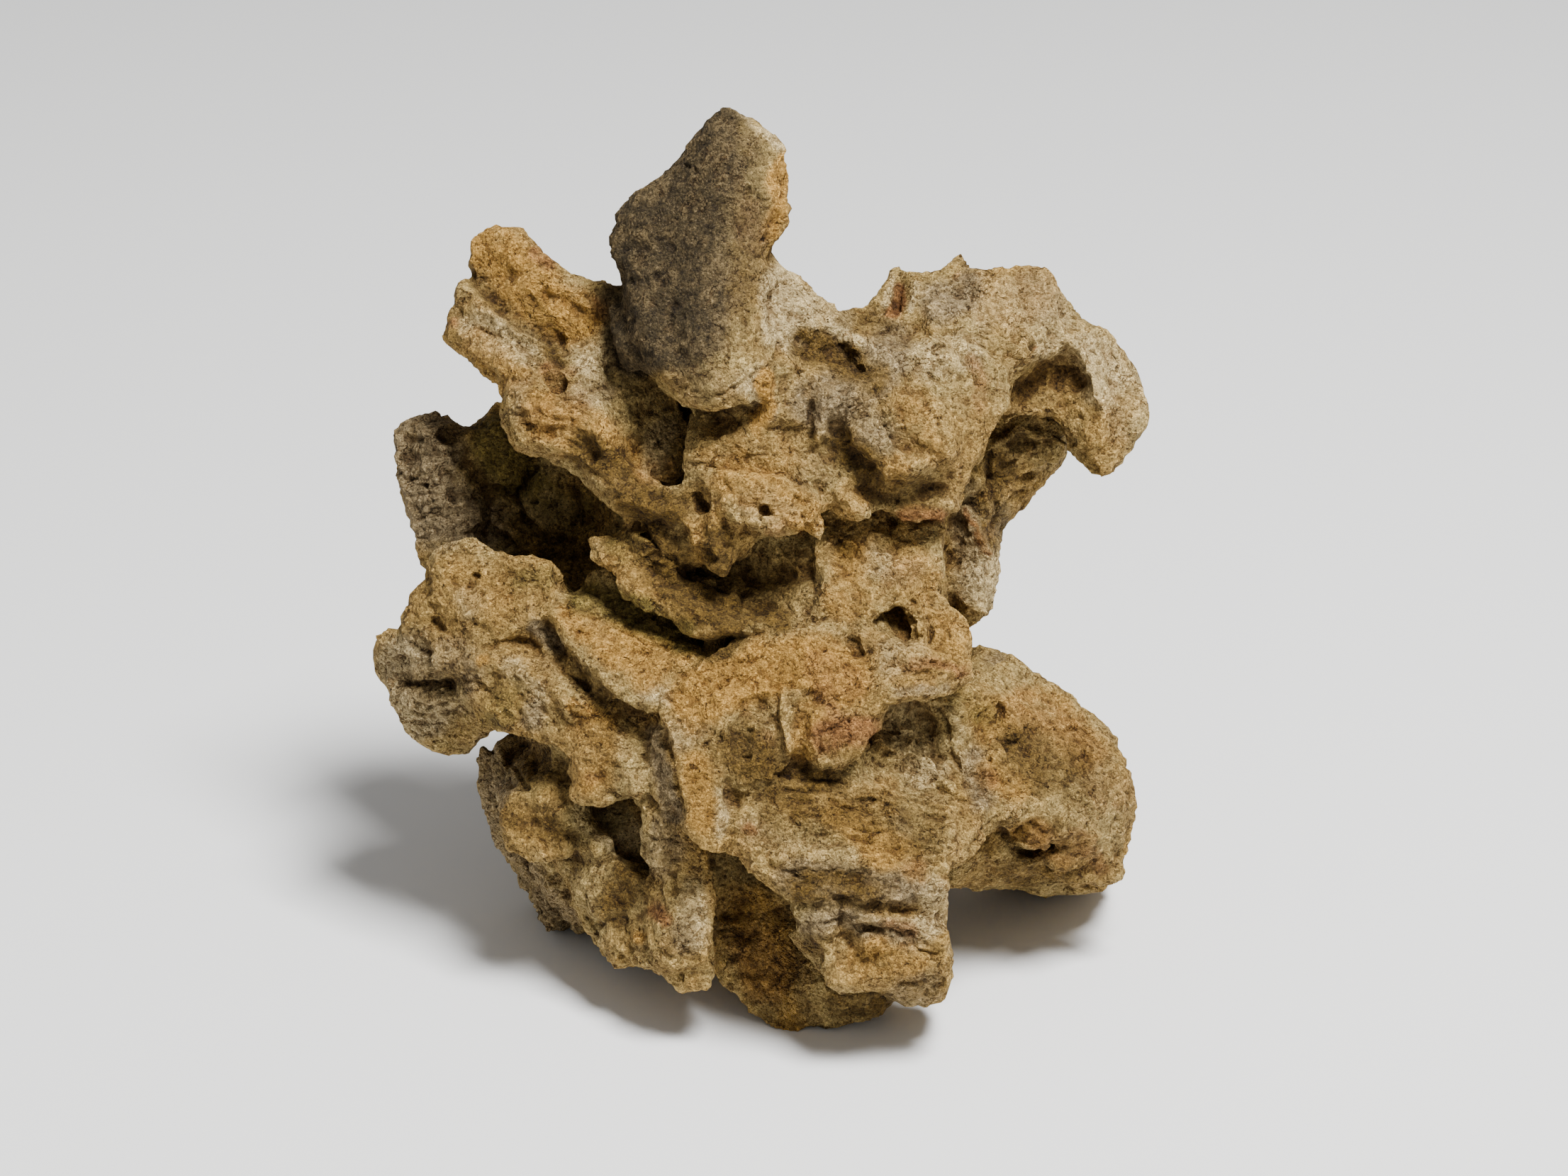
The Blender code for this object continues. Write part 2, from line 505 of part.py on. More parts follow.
def back_side(rock):
    """The unseen side: ledges, a stub, a back foot and hollows, in the manner of the front."""
    rock.boulder(
        24, (-6, 58, -12, 5), (28, 55, -18, 5), (56, 57, -14, 5), (-20, 54, -10, 5), (44, 32, -34, 5),
        (8, 30, -30, 5),
    )
    rock.boulder(
        16, (26, 50, -40, 3), (52, 48, -34, 3), (56, 38, -32, 3), (40, 30, -44, 3), (30, 34, -44, 3),
    )
    rock.limb((38, 42, -46, 8), (45, 48, -55, 6), (49, 53, -60, 3.4))
    rock.limb((-14, 42, -22, 9), (-30, 39, -30, 7), (-38, 44, -38, 4.6))
    rock.boulder(14, (-34, 46, -20, 3), (-14, 50, -28, 3), (-8, 36, -36, 3), (-30, 30, -32, 3))
    rock.boulder(
        30, (6, 22, -30, 6), (38, 16, -34, 6), (10, -16, -32, 6), (38, -16, -34, 6), (24, 2, -44, 6),
    )
    rock.boulder(
        12, (-2, 10, -40, 3), (22, 14, -56, 3), (46, 6, -46, 3), (40, -2, -56, 3), (8, -4, -54, 3),
    )
    rock.boulder(
        28, (-44, -52, -34, 6), (42, -30, -44, 6), (60, -42, -44, 5), (-2, -24, -38, 7),
        (-24, -58, -44, 6), (30, -52, -54, 6), (6, -56, -50, 6), level=0.6,
    )
    rock.boulder(
        14, (-38, -40, -46, 3), (-6, -28, -62, 3), (16, -24, -66, 3), (8, -38, -72, 3),
        (-20, -44, -64, 3),
    )
    rock.boulder(
        12, (30, -20, -62, 3), (54, -24, -58, 3), (62, -36, -62, 3), (40, -40, -72, 3),
        (28, -32, -72, 3),
    )
    rock.boulder(26, (-14, -40, -52, 5), (16, -38, -54, 5), (12, -54, -62, 4), (-12, -55, -62, 4))
    rock.boulder(24, (-9, -50, -66, 4), (13, -50, -68, 4), (10, -64, -70, 4.4), (-6, -64, -70, 4.4))
    rock.limb((48, -30, -62, 6), (54, -26, -74, 3.6))


def hollows(cut):
    """What the weather took out: the deep bowl beside the horn, the window and lesser hollows."""
    cut.boulder(
        22, (-32, 49, 34, 1.2), (-27, 49, 34, 1.2), (-20, 39, 34, 1.6), (-18, 30, 34, 1.6),
        (-20, 25, 34, 1.4), (-26, 23, 34, 1.4), (-31, 27, 34, 1.6), (-33, 36, 34, 1.6), taper=0.5,
    )
    cut.limb((9, 56.5, 32, 3), (14, 55, 30, 3.6), (20, 53, 32, 3))
    cut.boulder(34, (29.5, -9.5, 40, 1.4), (34.5, -9.5, 40, 1.4), (36.5, -18, 40, 1.2), taper=1.0)
    cut.limb((72, 53, 15, 3), (74, 47, 13, 4), (71, 43, 9, 3))
    cut.limb((33.5, 69, 11, 2), (32.6, 65.5, 10, 2.8), (34, 62.5, 14, 2))
    cut.limb((-48.6, -1.4, 20, 1.1), (-48.6, -1.4, -80, 1.1))
    cut.limb((-46.2, -2.6, 20, 1.0), (-46.2, -2.6, -80, 1.0))


def settled(made):
    """Turns the object's modifiers into plain mesh."""
    graph = bpy.context.evaluated_depsgraph_get()
    mesh = bpy.data.meshes.new_from_object(made.evaluated_get(graph))
    old = made.data
    made.modifiers.clear()
    made.data = mesh
    bpy.data.meshes.remove(old)


def keep_outer_skin(made):
    """Drops the skins of any pockets that were closed in between the stones."""
    shape = bmesh.new()
    shape.from_mesh(made.data)
    waiting = set(shape.verts)
    islands = []
    while waiting:
        border = [waiting.pop()]
        island = set(border)
        while border:
            here = border.pop()
            for edge in here.link_edges:
                there = edge.other_vert(here)
                if there not in island:
                    island.add(there)
                    border.append(there)
        waiting -= island
        islands.append(island)
    islands.sort(key=len)
    for island in islands[:-1]:
        bmesh.ops.delete(shape, geom=list(island), context="VERTS")
    shape.to_mesh(made.data)
    shape.free()


def even_skin(made, grain):
    """Gives the object one even skin of small squares."""
    skin = made.modifiers.new("even_skin", "REMESH")
    skin.mode = "VOXEL"
    skin.voxel_size = grain * MM


def weather(made, name, kind, size, height):
    """Raises and lowers the skin by one scale of natural noise."""
    pattern = bpy.data.textures.new(name, kind)
    pattern.noise_scale = size * MM
    roughen = made.modifiers.new(name, "DISPLACE")
    roughen.texture = pattern
    roughen.texture_coords = "LOCAL"
    roughen.strength = height * MM


def thinned(made):
    """Leaves about TRIANGLES triangles, most of them where the rock bends sharply."""
    made.data.calc_loop_triangles()
    thin = made.modifiers.new("thin", "DECIMATE")
    thin.ratio = TRIANGLES / len(made.data.loop_triangles)


def cut_level(made, cutters):
    """Cuts the feet level, so that the rock stands on flat faces."""
    bpy.ops.mesh.primitive_cube_add(size=1)
    block = bpy.context.object
    block.name = "ground"
    side = GROUND_BLOCK * MM
    block.data.transform(Matrix.Scale(side, 4))
    block.data.transform(Matrix.Translation((0, 0, GROUND * MM - side / 2)))
    for old in list(block.users_collection):
        old.objects.unlink(block)
    cutters.objects.link(block)
    level = made.modifiers.new("level", "BOOLEAN")
    level.object = block
    level.operation = "DIFFERENCE"
    return block


def as_guide(helper):
    """Keeps a helper out of the finished object."""
    helper.hide_render = True
    helper.display_type = "WIRE"


def limestone():
    """The stone's own finish."""
    material = bpy.data.materials.new("limestone")
    material.use_nodes = True
    surface = material.node_tree.nodes["Principled BSDF"]
    surface.inputs["Base Color"].default_value = STONE_COLOUR
    surface.inputs["Roughness"].default_value = STONE_ROUGHNESS
    surface.inputs["Metallic"].default_value = 0.0
    return material


def carved_skin(stones, cutters):
    """One skin round all the stones, hollowed and weathered, still lying as it is seen."""
    rubble = Rubble(STONE_SEED)
    for form in (
        core, dark_horn, horn_skirt, left_arm, left_shoulder, nose, ragged_plate, right_lobe, right_arm,
        right_back, neck, bridge, left_back, lower_left_arm, pillar, lower_left, bottom_keel, lower_slab,
        right_foot, lower_leg, back_side,
    ):
        form(rubble)
    rock = rubble.gathered("limestone_rock", stones)
    carving = Rubble(HOLLOW_SEED)
    hollows(carving)
    cut = carving.gathered("hollows", cutters)
    as_guide(cut)
    even_skin(rock, GRAIN)
    even_skin(cut, CUTTER_GRAIN)
    settled(rock)
    settled(cut)
    keep_outer_skin(rock)
    carve = rock.modifiers.new("carve", "BOOLEAN")
    carve.object = cut
    carve.operation = "DIFFERENCE"
    even_skin(rock, GRAIN)
    soften = rock.modifiers.new("soften", "SMOOTH")
    soften.factor = SMOOTHING_STRENGTH
    soften.iterations = SMOOTHING_ROUNDS
    weather(rock, "lumps", "CLOUDS", LUMP_SIZE, LUMP_HEIGHT)
    weather(rock, "pits", "VORONOI", PIT_SIZE, PIT_DEPTH)
    settled(rock)
    keep_outer_skin(rock)
    return rock


def set_down(rock):
    """Moves the rock so that the middle of its box's base is the origin."""
    corners = [Vector(vertex.co) for vertex in rock.data.vertices]
    low = Vector([min(corner[axis] for corner in corners) for axis in range(3)])
    high = Vector([max(corner[axis] for corner in corners) for axis in range(3)])
    rock.data.transform(Matrix.Translation((-(low.x + high.x) / 2, -(low.y + high.y) / 2, -low.z)))


def main():
    for old in list(bpy.data.objects):
        bpy.data.objects.remove(old)
    stones = bpy.data.collections.new("limestone_rock")
    cutters = bpy.data.collections.new("cutters")
    bpy.context.scene.collection.children.link(stones)
    bpy.context.scene.collection.children.link(cutters)
    rock = carved_skin(stones, cutters)
    thinned(rock)
    settled(rock)
    rock.data.transform(Matrix.Rotation(-VIEW_TILT, 4, "X"))
    block = cut_level(rock, cutters)
    settled(rock)
    as_guide(block)
    set_down(rock)
    rock.data.materials.clear()
    rock.data.materials.append(limestone())
    rock.data.shade_smooth()


if __name__ == "__main__":
    main()
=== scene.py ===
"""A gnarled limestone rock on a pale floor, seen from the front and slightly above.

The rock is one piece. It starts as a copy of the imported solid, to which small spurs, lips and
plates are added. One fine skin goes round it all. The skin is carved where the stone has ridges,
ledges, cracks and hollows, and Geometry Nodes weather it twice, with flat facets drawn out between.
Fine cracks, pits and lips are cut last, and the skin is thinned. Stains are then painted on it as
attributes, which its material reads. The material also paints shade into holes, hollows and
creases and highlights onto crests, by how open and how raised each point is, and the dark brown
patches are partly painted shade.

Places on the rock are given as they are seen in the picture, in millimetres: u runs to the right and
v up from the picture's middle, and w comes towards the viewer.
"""

import math
import random

import bmesh
import bpy
import numpy as np
from mathutils import Euler, Matrix, Vector
from mathutils.bvhtree import BVHTree
from mathutils.geometry import delaunay_2d_cdt


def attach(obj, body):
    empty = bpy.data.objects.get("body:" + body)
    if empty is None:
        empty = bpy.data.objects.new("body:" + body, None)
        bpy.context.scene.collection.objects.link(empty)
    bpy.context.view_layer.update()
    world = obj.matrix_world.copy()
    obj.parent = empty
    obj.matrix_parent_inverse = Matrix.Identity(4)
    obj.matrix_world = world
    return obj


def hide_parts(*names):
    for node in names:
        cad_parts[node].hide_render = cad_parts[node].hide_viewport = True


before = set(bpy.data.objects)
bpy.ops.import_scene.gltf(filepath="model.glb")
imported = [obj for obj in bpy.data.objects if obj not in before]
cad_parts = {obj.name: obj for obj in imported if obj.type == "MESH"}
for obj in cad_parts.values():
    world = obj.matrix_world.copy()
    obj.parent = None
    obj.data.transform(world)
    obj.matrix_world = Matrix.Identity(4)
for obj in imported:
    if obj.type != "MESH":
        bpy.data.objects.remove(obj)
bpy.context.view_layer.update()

MM = 0.001

# Camera, floor and light. The light's place and the sizes are in metres.
SENSOR_WIDTH = 36.0
FLOOR_SIZE = 12.0
FLOOR_COLOUR = (0.86, 0.86, 0.85, 1.0)
FLOOR_ROUGHNESS = 0.9
FLOOR_SHINE = 0.1
PANEL_PLACE = (0.42, -0.48, 1.52)
PANEL_SIZE = 0.5
PANEL_POWER = 65.0
SURROUND_COLOUR = (1.0, 1.0, 1.0, 1.0)
SURROUND_STRENGTH = 0.32

# The photograph: its size in pixels, the pixel that shows the picture's middle, and its scale.
IMAGE_WIDTH = 2212
IMAGE_HEIGHT = 1659
MIDDLE_PIXEL = (1075, 805)
MM_PER_PIXEL = 0.175
VIEW_TILT = math.radians(25)
VIEW_DISTANCE = 1000.0
# Where the picture's middle lies in the rock, in metres.
PICTURE_MIDDLE = Vector((0.000623, -0.004421, 0.1))

# Drawn grids reach this far from the picture's middle, in millimetres.
GRID_REACH = 125.0
# The edge of one square of the fine skin, in millimetres, and the triangles that are left of it.
SKIN_GRAIN = 0.7
SKIN_TRIANGLES = 192000
# The share of its triangles that the hidden side keeps before the whole skin is thinned.
BACK_SHARE = 0.3
STONE_SEED = 3
# Drawn lines stray from their paths by about WANDER and turn over WANDER_SIZE, in millimetres. Their
# depth varies by FADING about FADE_MIDDLE, inside FADE_RANGE.
WANDER_SEED = 8
WANDER_SIZE = 4.0
WANDER = 0.7
FADE_MIDDLE = 0.75
FADING = 0.55
FADE_RANGE = (0.1, 1.3)
# How sharply a groove narrows, and how full the middle of a pit and of a stain is.
GROOVE_SHARPNESS = 1.6
PIT_FULLNESS = 1.6
STAIN_FULLNESS = 1.5
# The relief is raised along normals that are averaged this often and leaned towards the viewer.
RELIEF_ROUNDS = 12
RELIEF_LEAN = 0.4
# The sizes of the first weathering, in millimetres.
WEAR = {
    "Lump Size": 12.0, "Lump Height": 2.4, "Scar Size": 7.5, "Scar Depth": 0.9,
    "Dent Size": 4.6, "Dent Depth": 1.3, "Crumb Size": 2.6, "Crumb Height": 0.9,
    "Bed Thickness": 2.8, "Bed Depth": 0.8, "Grit Size": 2.0, "Grit Height": 0.6,
}
# The sizes of the second weathering, which roughens the facets, in millimetres.
FINE_WEAR = {
    "Lump Size": 3.4, "Lump Height": 0.9, "Scar Size": 2.8, "Scar Depth": 0.45,
    "Dent Size": 1.9, "Dent Depth": 0.6, "Crumb Size": 1.8, "Crumb Height": 0.5,
    "Bed Thickness": 1.6, "Bed Depth": 0.45, "Grit Size": 1.1, "Grit Height": 0.35,
}
# The weathering's patterns are bent by waves of this scale, by this many millimetres at most, and
# its beds are patterns that are stretched along u and w.
BEND_SCALE = 0.11
BEND_REACH = 7.0
BED_STRETCH = (0.2, 0.35, 1.0)
# The triangles of each coarse copy whose flat facets the skin is drawn to, and how far it is drawn.
BROAD_FACETS = (10000, 0.75)
MIDDLE_FACETS = (36000, 0.5)
FINE_FACETS = (40000, 0.8)
# An edge that turns by more degrees than this shows as a crease.
CREASE_ANGLE = 32
# Rounds of rubbing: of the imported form, of the broad faces and of the small stones on them.
BASE_SOFTENING = 20
FACE_SOFTENING = 9
STONE_SOFTENING = 2
# A small stone less than this far under the skin is lifted by this share of its radius.
BURIED = 8
STANDING_OUT = 0.7

TO_WORLD = (
    Matrix.Translation(PICTURE_MIDDLE) @ Matrix.Rotation(-VIEW_TILT, 4, "X") @ Matrix.Scale(MM, 4)
)


# Camera, floor and light


def make_camera():
    """A camera that looks down on the rock as the photograph does."""
    made = bpy.data.objects.new("camera", bpy.data.cameras.new("camera"))
    bpy.context.scene.collection.objects.link(made)
    back = Vector((0.0, -math.cos(VIEW_TILT), math.sin(VIEW_TILT)))
    made.location = PICTURE_MIDDLE + back * VIEW_DISTANCE * MM
    made.rotation_mode = "QUATERNION"
    made.rotation_quaternion = (-back).to_track_quat("-Z", "Y")
    lens = made.data
    lens.sensor_width = SENSOR_WIDTH
    lens.lens = lens.sensor_width * VIEW_DISTANCE / (IMAGE_WIDTH * MM_PER_PIXEL)
    lens.shift_x = (IMAGE_WIDTH / 2 - MIDDLE_PIXEL[0]) / IMAGE_WIDTH
    lens.shift_y = (MIDDLE_PIXEL[1] - IMAGE_HEIGHT / 2) / IMAGE_WIDTH
    bpy.context.scene.camera = made


def make_floor():
    """A wide, plain, pale floor."""
    bpy.ops.mesh.primitive_plane_add(size=FLOOR_SIZE)
    floor = bpy.context.object
    floor.name = "floor"
    finish = bpy.data.materials.new("floor")
    finish.use_nodes = True
    surface = finish.node_tree.nodes["Principled BSDF"]
    surface.inputs["Base Color"].default_value = FLOOR_COLOUR
    surface.inputs["Roughness"].default_value = FLOOR_ROUGHNESS
    surface.inputs["Specular IOR Level"].default_value = FLOOR_SHINE
    floor.data.materials.append(finish)


def make_light(name, place, size, power):
    """A square soft light that faces the rock's middle."""
    made = bpy.data.objects.new(name, bpy.data.lights.new(name, "AREA"))
    bpy.context.scene.collection.objects.link(made)
    made.location = place
    made.rotation_mode = "QUATERNION"
    made.rotation_quaternion = (PICTURE_MIDDLE - Vector(place)).to_track_quat("-Z", "Y")
    made.data.size = size
    made.data.energy = power


def make_lighting():
    """A big soft light from above and slightly right, and an even pale surround."""
    make_light("sky_panel", PANEL_PLACE, PANEL_SIZE, PANEL_POWER)
    surround = bpy.data.worlds.new("surround")
    bpy.context.scene.world = surround
    surround.use_nodes = True
    background = surround.node_tree.nodes["Background"]
    background.inputs["Color"].default_value = SURROUND_COLOUR
    background.inputs["Strength"].default_value = SURROUND_STRENGTH


# Node trees in short


def add(tree, kind, wires=None, **settings):
    """Adds one node with its settings. Wires joins or sets its inputs, by name or by number."""
    made = tree.nodes.new(kind)
    for name, value in settings.items():
        setattr(made, name, value)
    for key, value in (wires or {}).items():
        if isinstance(value, bpy.types.NodeSocket):
            tree.links.new(value, made.inputs[key])
        else:
            made.inputs[key].default_value = value
    return made


def math_node(tree, operation, *values):
    """One step of arithmetic, as a socket."""
    return add(tree, "ShaderNodeMath", dict(enumerate(values)), operation=operation).outputs[0]


def vector_node(tree, operation, *values):
    """One step of vector arithmetic, as a socket."""
    made = add(tree, "ShaderNodeVectorMath", dict(enumerate(values)), operation=operation)
    return made.outputs[0]


def ramped(tree, value, low, high, to_low=0.0, to_high=1.0):
    """The value eased from one range to another, as a socket."""
    made = add(tree, "ShaderNodeMapRange", {0: value, 1: low, 2: high, 3: to_low, 4: to_high})
    made.interpolation_type = "SMOOTHSTEP"
    return made.outputs[0]


def noise(tree, place, size, detail=2.0, roughness=0.5, distortion=0.0):
    """Noise whose features are about size across, in the units of place."""
    wires = {"Vector": place, "Scale": 1.0 / size, "Detail": detail, "Roughness": roughness}
    wires["Distortion"] = distortion
    return add(tree, "ShaderNodeTexNoise", wires)


# Stones: rough lumps in tight skins


def seen_at(u, v, w):
    """The place, in seen millimetres, that shows at (u, v) and lies w nearer than the picture."""
    nearer = 1 - w / VIEW_DISTANCE
    return Vector((u * nearer, -w, v * nearer))


class Rubble:
    """Small stones gathered in one mesh. They overlap the rock and each other."""

    def __init__(self, seed, guide=None):
        self.small = bmesh.new()
        self.broad = bmesh.new()
        self.chance = random.Random(seed)
        self.guide = guide

    def pebble(self, u, v, w, radius):
        """The middle and radius of a pebble. One that lies just under the guide is lifted to show."""
        below = depth_at(self.guide, u, v) if self.guide else None
        if below is not None and below - w < BURIED:
            w = max(w, below + STANDING_OUT * radius)
        return seen_at(u, v, w - radius), radius

    def hull(self, pebbles, mesh=None):
        """Adds the tight skin round a few pebbles, each a place and a radius."""
        shape = bmesh.new()
        for place, radius in pebbles:
            turn = Euler([self.chance.uniform(0, math.tau) for _ in range(3)]).to_matrix().to_4x4()
            where = Matrix.Translation(place) @ turn
            bmesh.ops.create_icosphere(shape, subdivisions=1, radius=radius, matrix=where)
        made = bmesh.ops.convex_hull(shape, input=shape.verts)
        inner = [part for part in made["geom_interior"] if isinstance(part, bmesh.types.BMVert)]
        bmesh.ops.delete(shape, geom=inner, context="VERTS")
        bmesh.ops.recalc_face_normals(shape, faces=shape.faces)
        skin = bpy.data.meshes.new("skin")
        shape.to_mesh(skin)
        shape.free()
        (mesh or self.small).from_mesh(skin)
        bpy.data.meshes.remove(skin)

    def spur(self, *stations):
        """A knobbly spur through stations of (u, v, w of its front, radius)."""
        pebbles = [self.pebble(*station) for station in stations]
        for pair in zip(pebbles, pebbles[1:]):
            self.hull(pair)

    def block(self, *corners):
        """A block or a plate with corners of (u, v, w of its front, radius of the corner)."""
        self.hull([self.pebble(*corner) for corner in corners])

    def slab(self, radius, *corners):
        """A block whose corners of (u, v, w) are all of one radius."""
        self.block(*[(*corner, radius) for corner in corners])

    def face(self, radius, *corners):
        """A broad face, which is softened before the stones come. All its corners are as thick."""
        self.hull([(seen_at(u, v, w - radius), radius) for u, v, w in corners], self.broad)


def depth_at(guide, u, v):
    """How near the front-most stone that shows at (u, v) lies, or None where there is none."""
    eye = Vector((0.0, -VIEW_DISTANCE, 0.0))
    aim = Vector((u, VIEW_DISTANCE, v)).normalized()
    found, place, _, _ = guide.ray_cast(eye, aim)
    return -place.y if found else None


# Ridges and valleys, drawn as lines


class Relief:
    """Ridges and valleys over the rock's front. Between its lines the stone has flat facets."""

    CELL = 0.4
    REACH = GRID_REACH
    SHARE = 0.8

    def __init__(self):
        self.spots = []
        self.heights = []
        self.edges = []

    def line(self, height, *path):
        """A crease along a path. A corner's third number is a height of its own."""
        first = len(self.spots)
        for corner in path:
            self.spots.append(Vector(corner[:2]))
            self.heights.append(corner[2] if len(corner) > 2 else height)
        self.edges += [(number, number + 1) for number in range(first, len(self.spots) - 1)]

    def facets(self):
        """The flat facets between the lines: rows of corners with u, v and height."""
        spots, edges, faces, came_from, _, _ = delaunay_2d_cdt(
            self.spots, self.edges, [], 0, 1e-3, True
        )
        heights = [self.heights[known[0]] if known else None for known in came_from]
        around = [[] for _ in spots]
        for first, second in edges:
            around[first].append(second)
            around[second].append(first)
        for number, height in enumerate(heights):
            if height is None:
                near = [heights[other] for other in around[number] if heights[other] is not None]
                heights[number] = sum(near) / max(len(near), 1)
        corners = np.array([[spot.x, spot.y, height] for spot, height in zip(spots, heights)])
        return [corners[list(face)] for face in faces]

    def drawn(self):
        """The heights on an even grid, cell by cell."""
        count = int(2 * self.REACH / self.CELL) + 1
        grid = np.zeros((count, count))
        for a, b, c in self.facets():
            low = np.floor((np.minimum(np.minimum(a, b), c)[:2] + self.REACH) / self.CELL).astype(int)
            high = np.ceil((np.maximum(np.maximum(a, b), c)[:2] + self.REACH) / self.CELL).astype(int)
            low, high = low.clip(0), high.clip(0, count - 1)
            columns, rows = np.meshgrid(
                np.arange(low[0], high[0] + 1), np.arange(low[1], high[1] + 1), indexing="ij"
            )
            across = columns * self.CELL - self.REACH - a[0]
            up = rows * self.CELL - self.REACH - a[1]
            one, two = b - a, c - a
            area = one[0] * two[1] - one[1] * two[0]
            if abs(area) < 1e-9:
                continue
            second = (across * two[1] - up * two[0]) / area
            third = (up * one[0] - across * one[1]) / area
            inside = (second >= -1e-6) & (third >= -1e-6) & (second + third <= 1 + 1e-6)
            value = a[2] + second * one[2] + third * two[2]
            grid[columns[inside], rows[inside]] = value[inside]
        return grid

    def heights_at(self, u, v):
        """The heights at many places, between the cells of the grid."""
        return self.SHARE * between_cells(self.drawn(), u, v, self.REACH, self.CELL)


def between_cells(grid, u, v, reach, cell):
    """Values of a square grid about the middle, read at many places between its cells."""
    column = ((u + reach) / cell).clip(0, len(grid) - 1.001)
    row = ((v + reach) / cell).clip(0, len(grid) - 1.001)
    left, low = column.astype(int), row.astype(int)
    right_share, top_share = column - left, row - low
    bottom = grid[left, low] * (1 - right_share) + grid[left + 1, low] * right_share
    top = grid[left, low + 1] * (1 - right_share) + grid[left + 1, low + 1] * right_share
    return bottom * (1 - top_share) + top * top_share


# Carving


def eased(share):
    """0 to 1 with a gentle start and end."""
    share = np.clip(share, 0.0, 1.0)
    return share * share * (3 - 2 * share)


class Skin:
    """A mesh in seen millimetres, with where each of its points shows, ready to be carved."""

    def __init__(self, piece, guide):
        self.piece = piece
        self.guide = guide
        count = len(piece.data.vertices)
        flat = np.empty(count * 3, np.float32)
        piece.data.vertices.foreach_get("co", flat)
        self.points = flat.reshape(-1, 3).astype(np.float64)
        self.renew()

    def renew(self):
        """Writes the points to the mesh, and finds their normals and where they show.

        Drawn lines read the places in wandered, so that they stray, and their depth from faded.
        """
        self.piece.data.vertices.foreach_set("co", self.points.astype(np.float32).ravel())
        self.piece.data.update()
        flat = np.empty(len(self.points) * 3, np.float32)
        self.piece.data.vertex_normals.foreach_get("vector", flat)
        self.normals = flat.reshape(-1, 3).astype(np.float64)
        nearer = 1 + self.points[:, 1] / VIEW_DISTANCE
        self.u = self.points[:, 0] / nearer
        self.v = self.points[:, 2] / nearer
        self.w = -self.points[:, 1]
        chance = np.random.default_rng(WANDER_SEED)
        for cell, reach in ((WANDER_SIZE, WANDER), (WANDER_SIZE / 3, WANDER / 3)):
            count = int(2 * GRID_REACH / cell) + 2
            fields = chance.normal(size=(3, count, count))
            drift = [between_cells(field, self.u, self.v, GRID_REACH, cell) for field in fields]
            if cell == WANDER_SIZE:
                self.wandered = np.stack([self.u, self.v], 1)
                self.faded = np.clip(FADE_MIDDLE + FADING * drift[2], *FADE_RANGE)
            self.wandered += reach * np.stack(drift[:2], 1)

    def in_front(self, slack=4.0, cell=1.0, reach=GRID_REACH):
        """How much each point belongs to the front that the camera sees, 0 to 1."""
        count = int(2 * reach / cell) + 3
        column = ((self.u + reach) / cell + 0.5).astype(int).clip(1, count - 2)
        row = ((self.v + reach) / cell + 0.5).astype(int).clip(1, count - 2)
        nearest = np.full((count, count), -1e6)
        np.maximum.at(nearest, (column, row), self.w)
        return eased(2.0 - (nearest[column, row] - self.w) / slack)

    def route(self, path):
        """The path's corners as rows of u, v and w. A corner without w lies on the rock's front."""
        rows = []
        for corner in path:
            depth = corner[2] if len(corner) > 2 else depth_at(self.guide, *corner)
            rows.append([corner[0], corner[1], depth])
        known = [row[2] for row in rows if row[2] is not None]
        for row in rows:
            if row[2] is None:
                row[2] = known[0] if known else 0.0
        return np.array(rows, np.float64)

    def near(self, path, width, reach):
        """The points that show within width of the path and lie within reach of its depth.

        It gives their numbers, their distance from the path as a share of width, and how far
        each counts by its depth.
        """
        rows = self.route(path)
        low = rows[:, :2].min(0) - width
        high = rows[:, :2].max(0) + width
        inside = (self.wandered > low) & (self.wandered < high)
        picked = np.flatnonzero(inside[:, 0] & inside[:, 1])
        spots = self.wandered[picked]
        best = np.full(len(picked), np.inf)
        depth = np.full(len(picked), rows[0, 2])
        if len(rows) == 1:
            best = np.hypot(*(spots - rows[0, :2]).T)
        for start, end in zip(rows, rows[1:]):
            run = end[:2] - start[:2]
            along = np.clip((spots - start[:2]) @ run / max(run @ run, 1e-9), 0.0, 1.0)
            off = spots - start[:2] - along[:, None] * run
            distance = np.hypot(*off.T)
            closer = distance < best
            best[closer] = distance[closer]
            depth[closer] = (start[2] + along * (end[2] - start[2]))[closer]
        inside = best < width
        picked, best, depth = picked[inside], best[inside], depth[inside]
        gate = eased(2.0 - np.abs(self.w[picked] - depth) / reach)
        return picked, best / width, gate

    def push(self, picked, amount):
        """Moves points along their normals."""
        self.points[picked] += self.normals[picked] * amount[:, None]

    def groove(self, width, depth, *path, reach=7.0):
        """A cut with a sharp bottom. A negative depth makes a sharp crest."""
        picked, share, gate = self.near(path, width, reach)
        self.push(picked, -depth * self.faded[picked] * gate * (1 - share) ** GROOVE_SHARPNESS)

    def crest(self, width, height, *path, reach=7.0):
        """A ridge with a sharp top."""
        self.groove(width, -height, *path, reach=reach)

    def swell(self, width, height, *path, reach=9.0):
        """A soft rise along a path or about a spot. A negative height makes a soft dent."""
        picked, share, gate = self.near(path, width, reach)
        self.push(picked, height * gate * eased(1 - share))

    def pit(self, radius, depth, *path, reach=6.0):
        """A hole with steep walls."""
        picked, share, gate = self.near(path, radius, reach)
        self.push(picked, -depth * gate * eased(PIT_FULLNESS * (1 - share)))

    def paint(self, layer, amount, width, *path, reach=12.0):
        """Lays a stain or a mask along a path or about a spot, in a layer of shares."""
        picked, share, gate = self.near(path, width, reach)
        strength = amount * gate * eased(STAIN_FULLNESS * (1 - share))
        layer[picked] = layer[picked] * (1 - np.abs(strength)) + np.maximum(strength, 0.0)

    def store(self, name, layer):
        """Keeps a layer as an attribute of the mesh."""
        kept = self.piece.data.attributes.get(name)
        if kept is None:
            kept = self.piece.data.attributes.new(name, "FLOAT", "POINT")
        kept.data.foreach_set("value", layer.astype(np.float32))

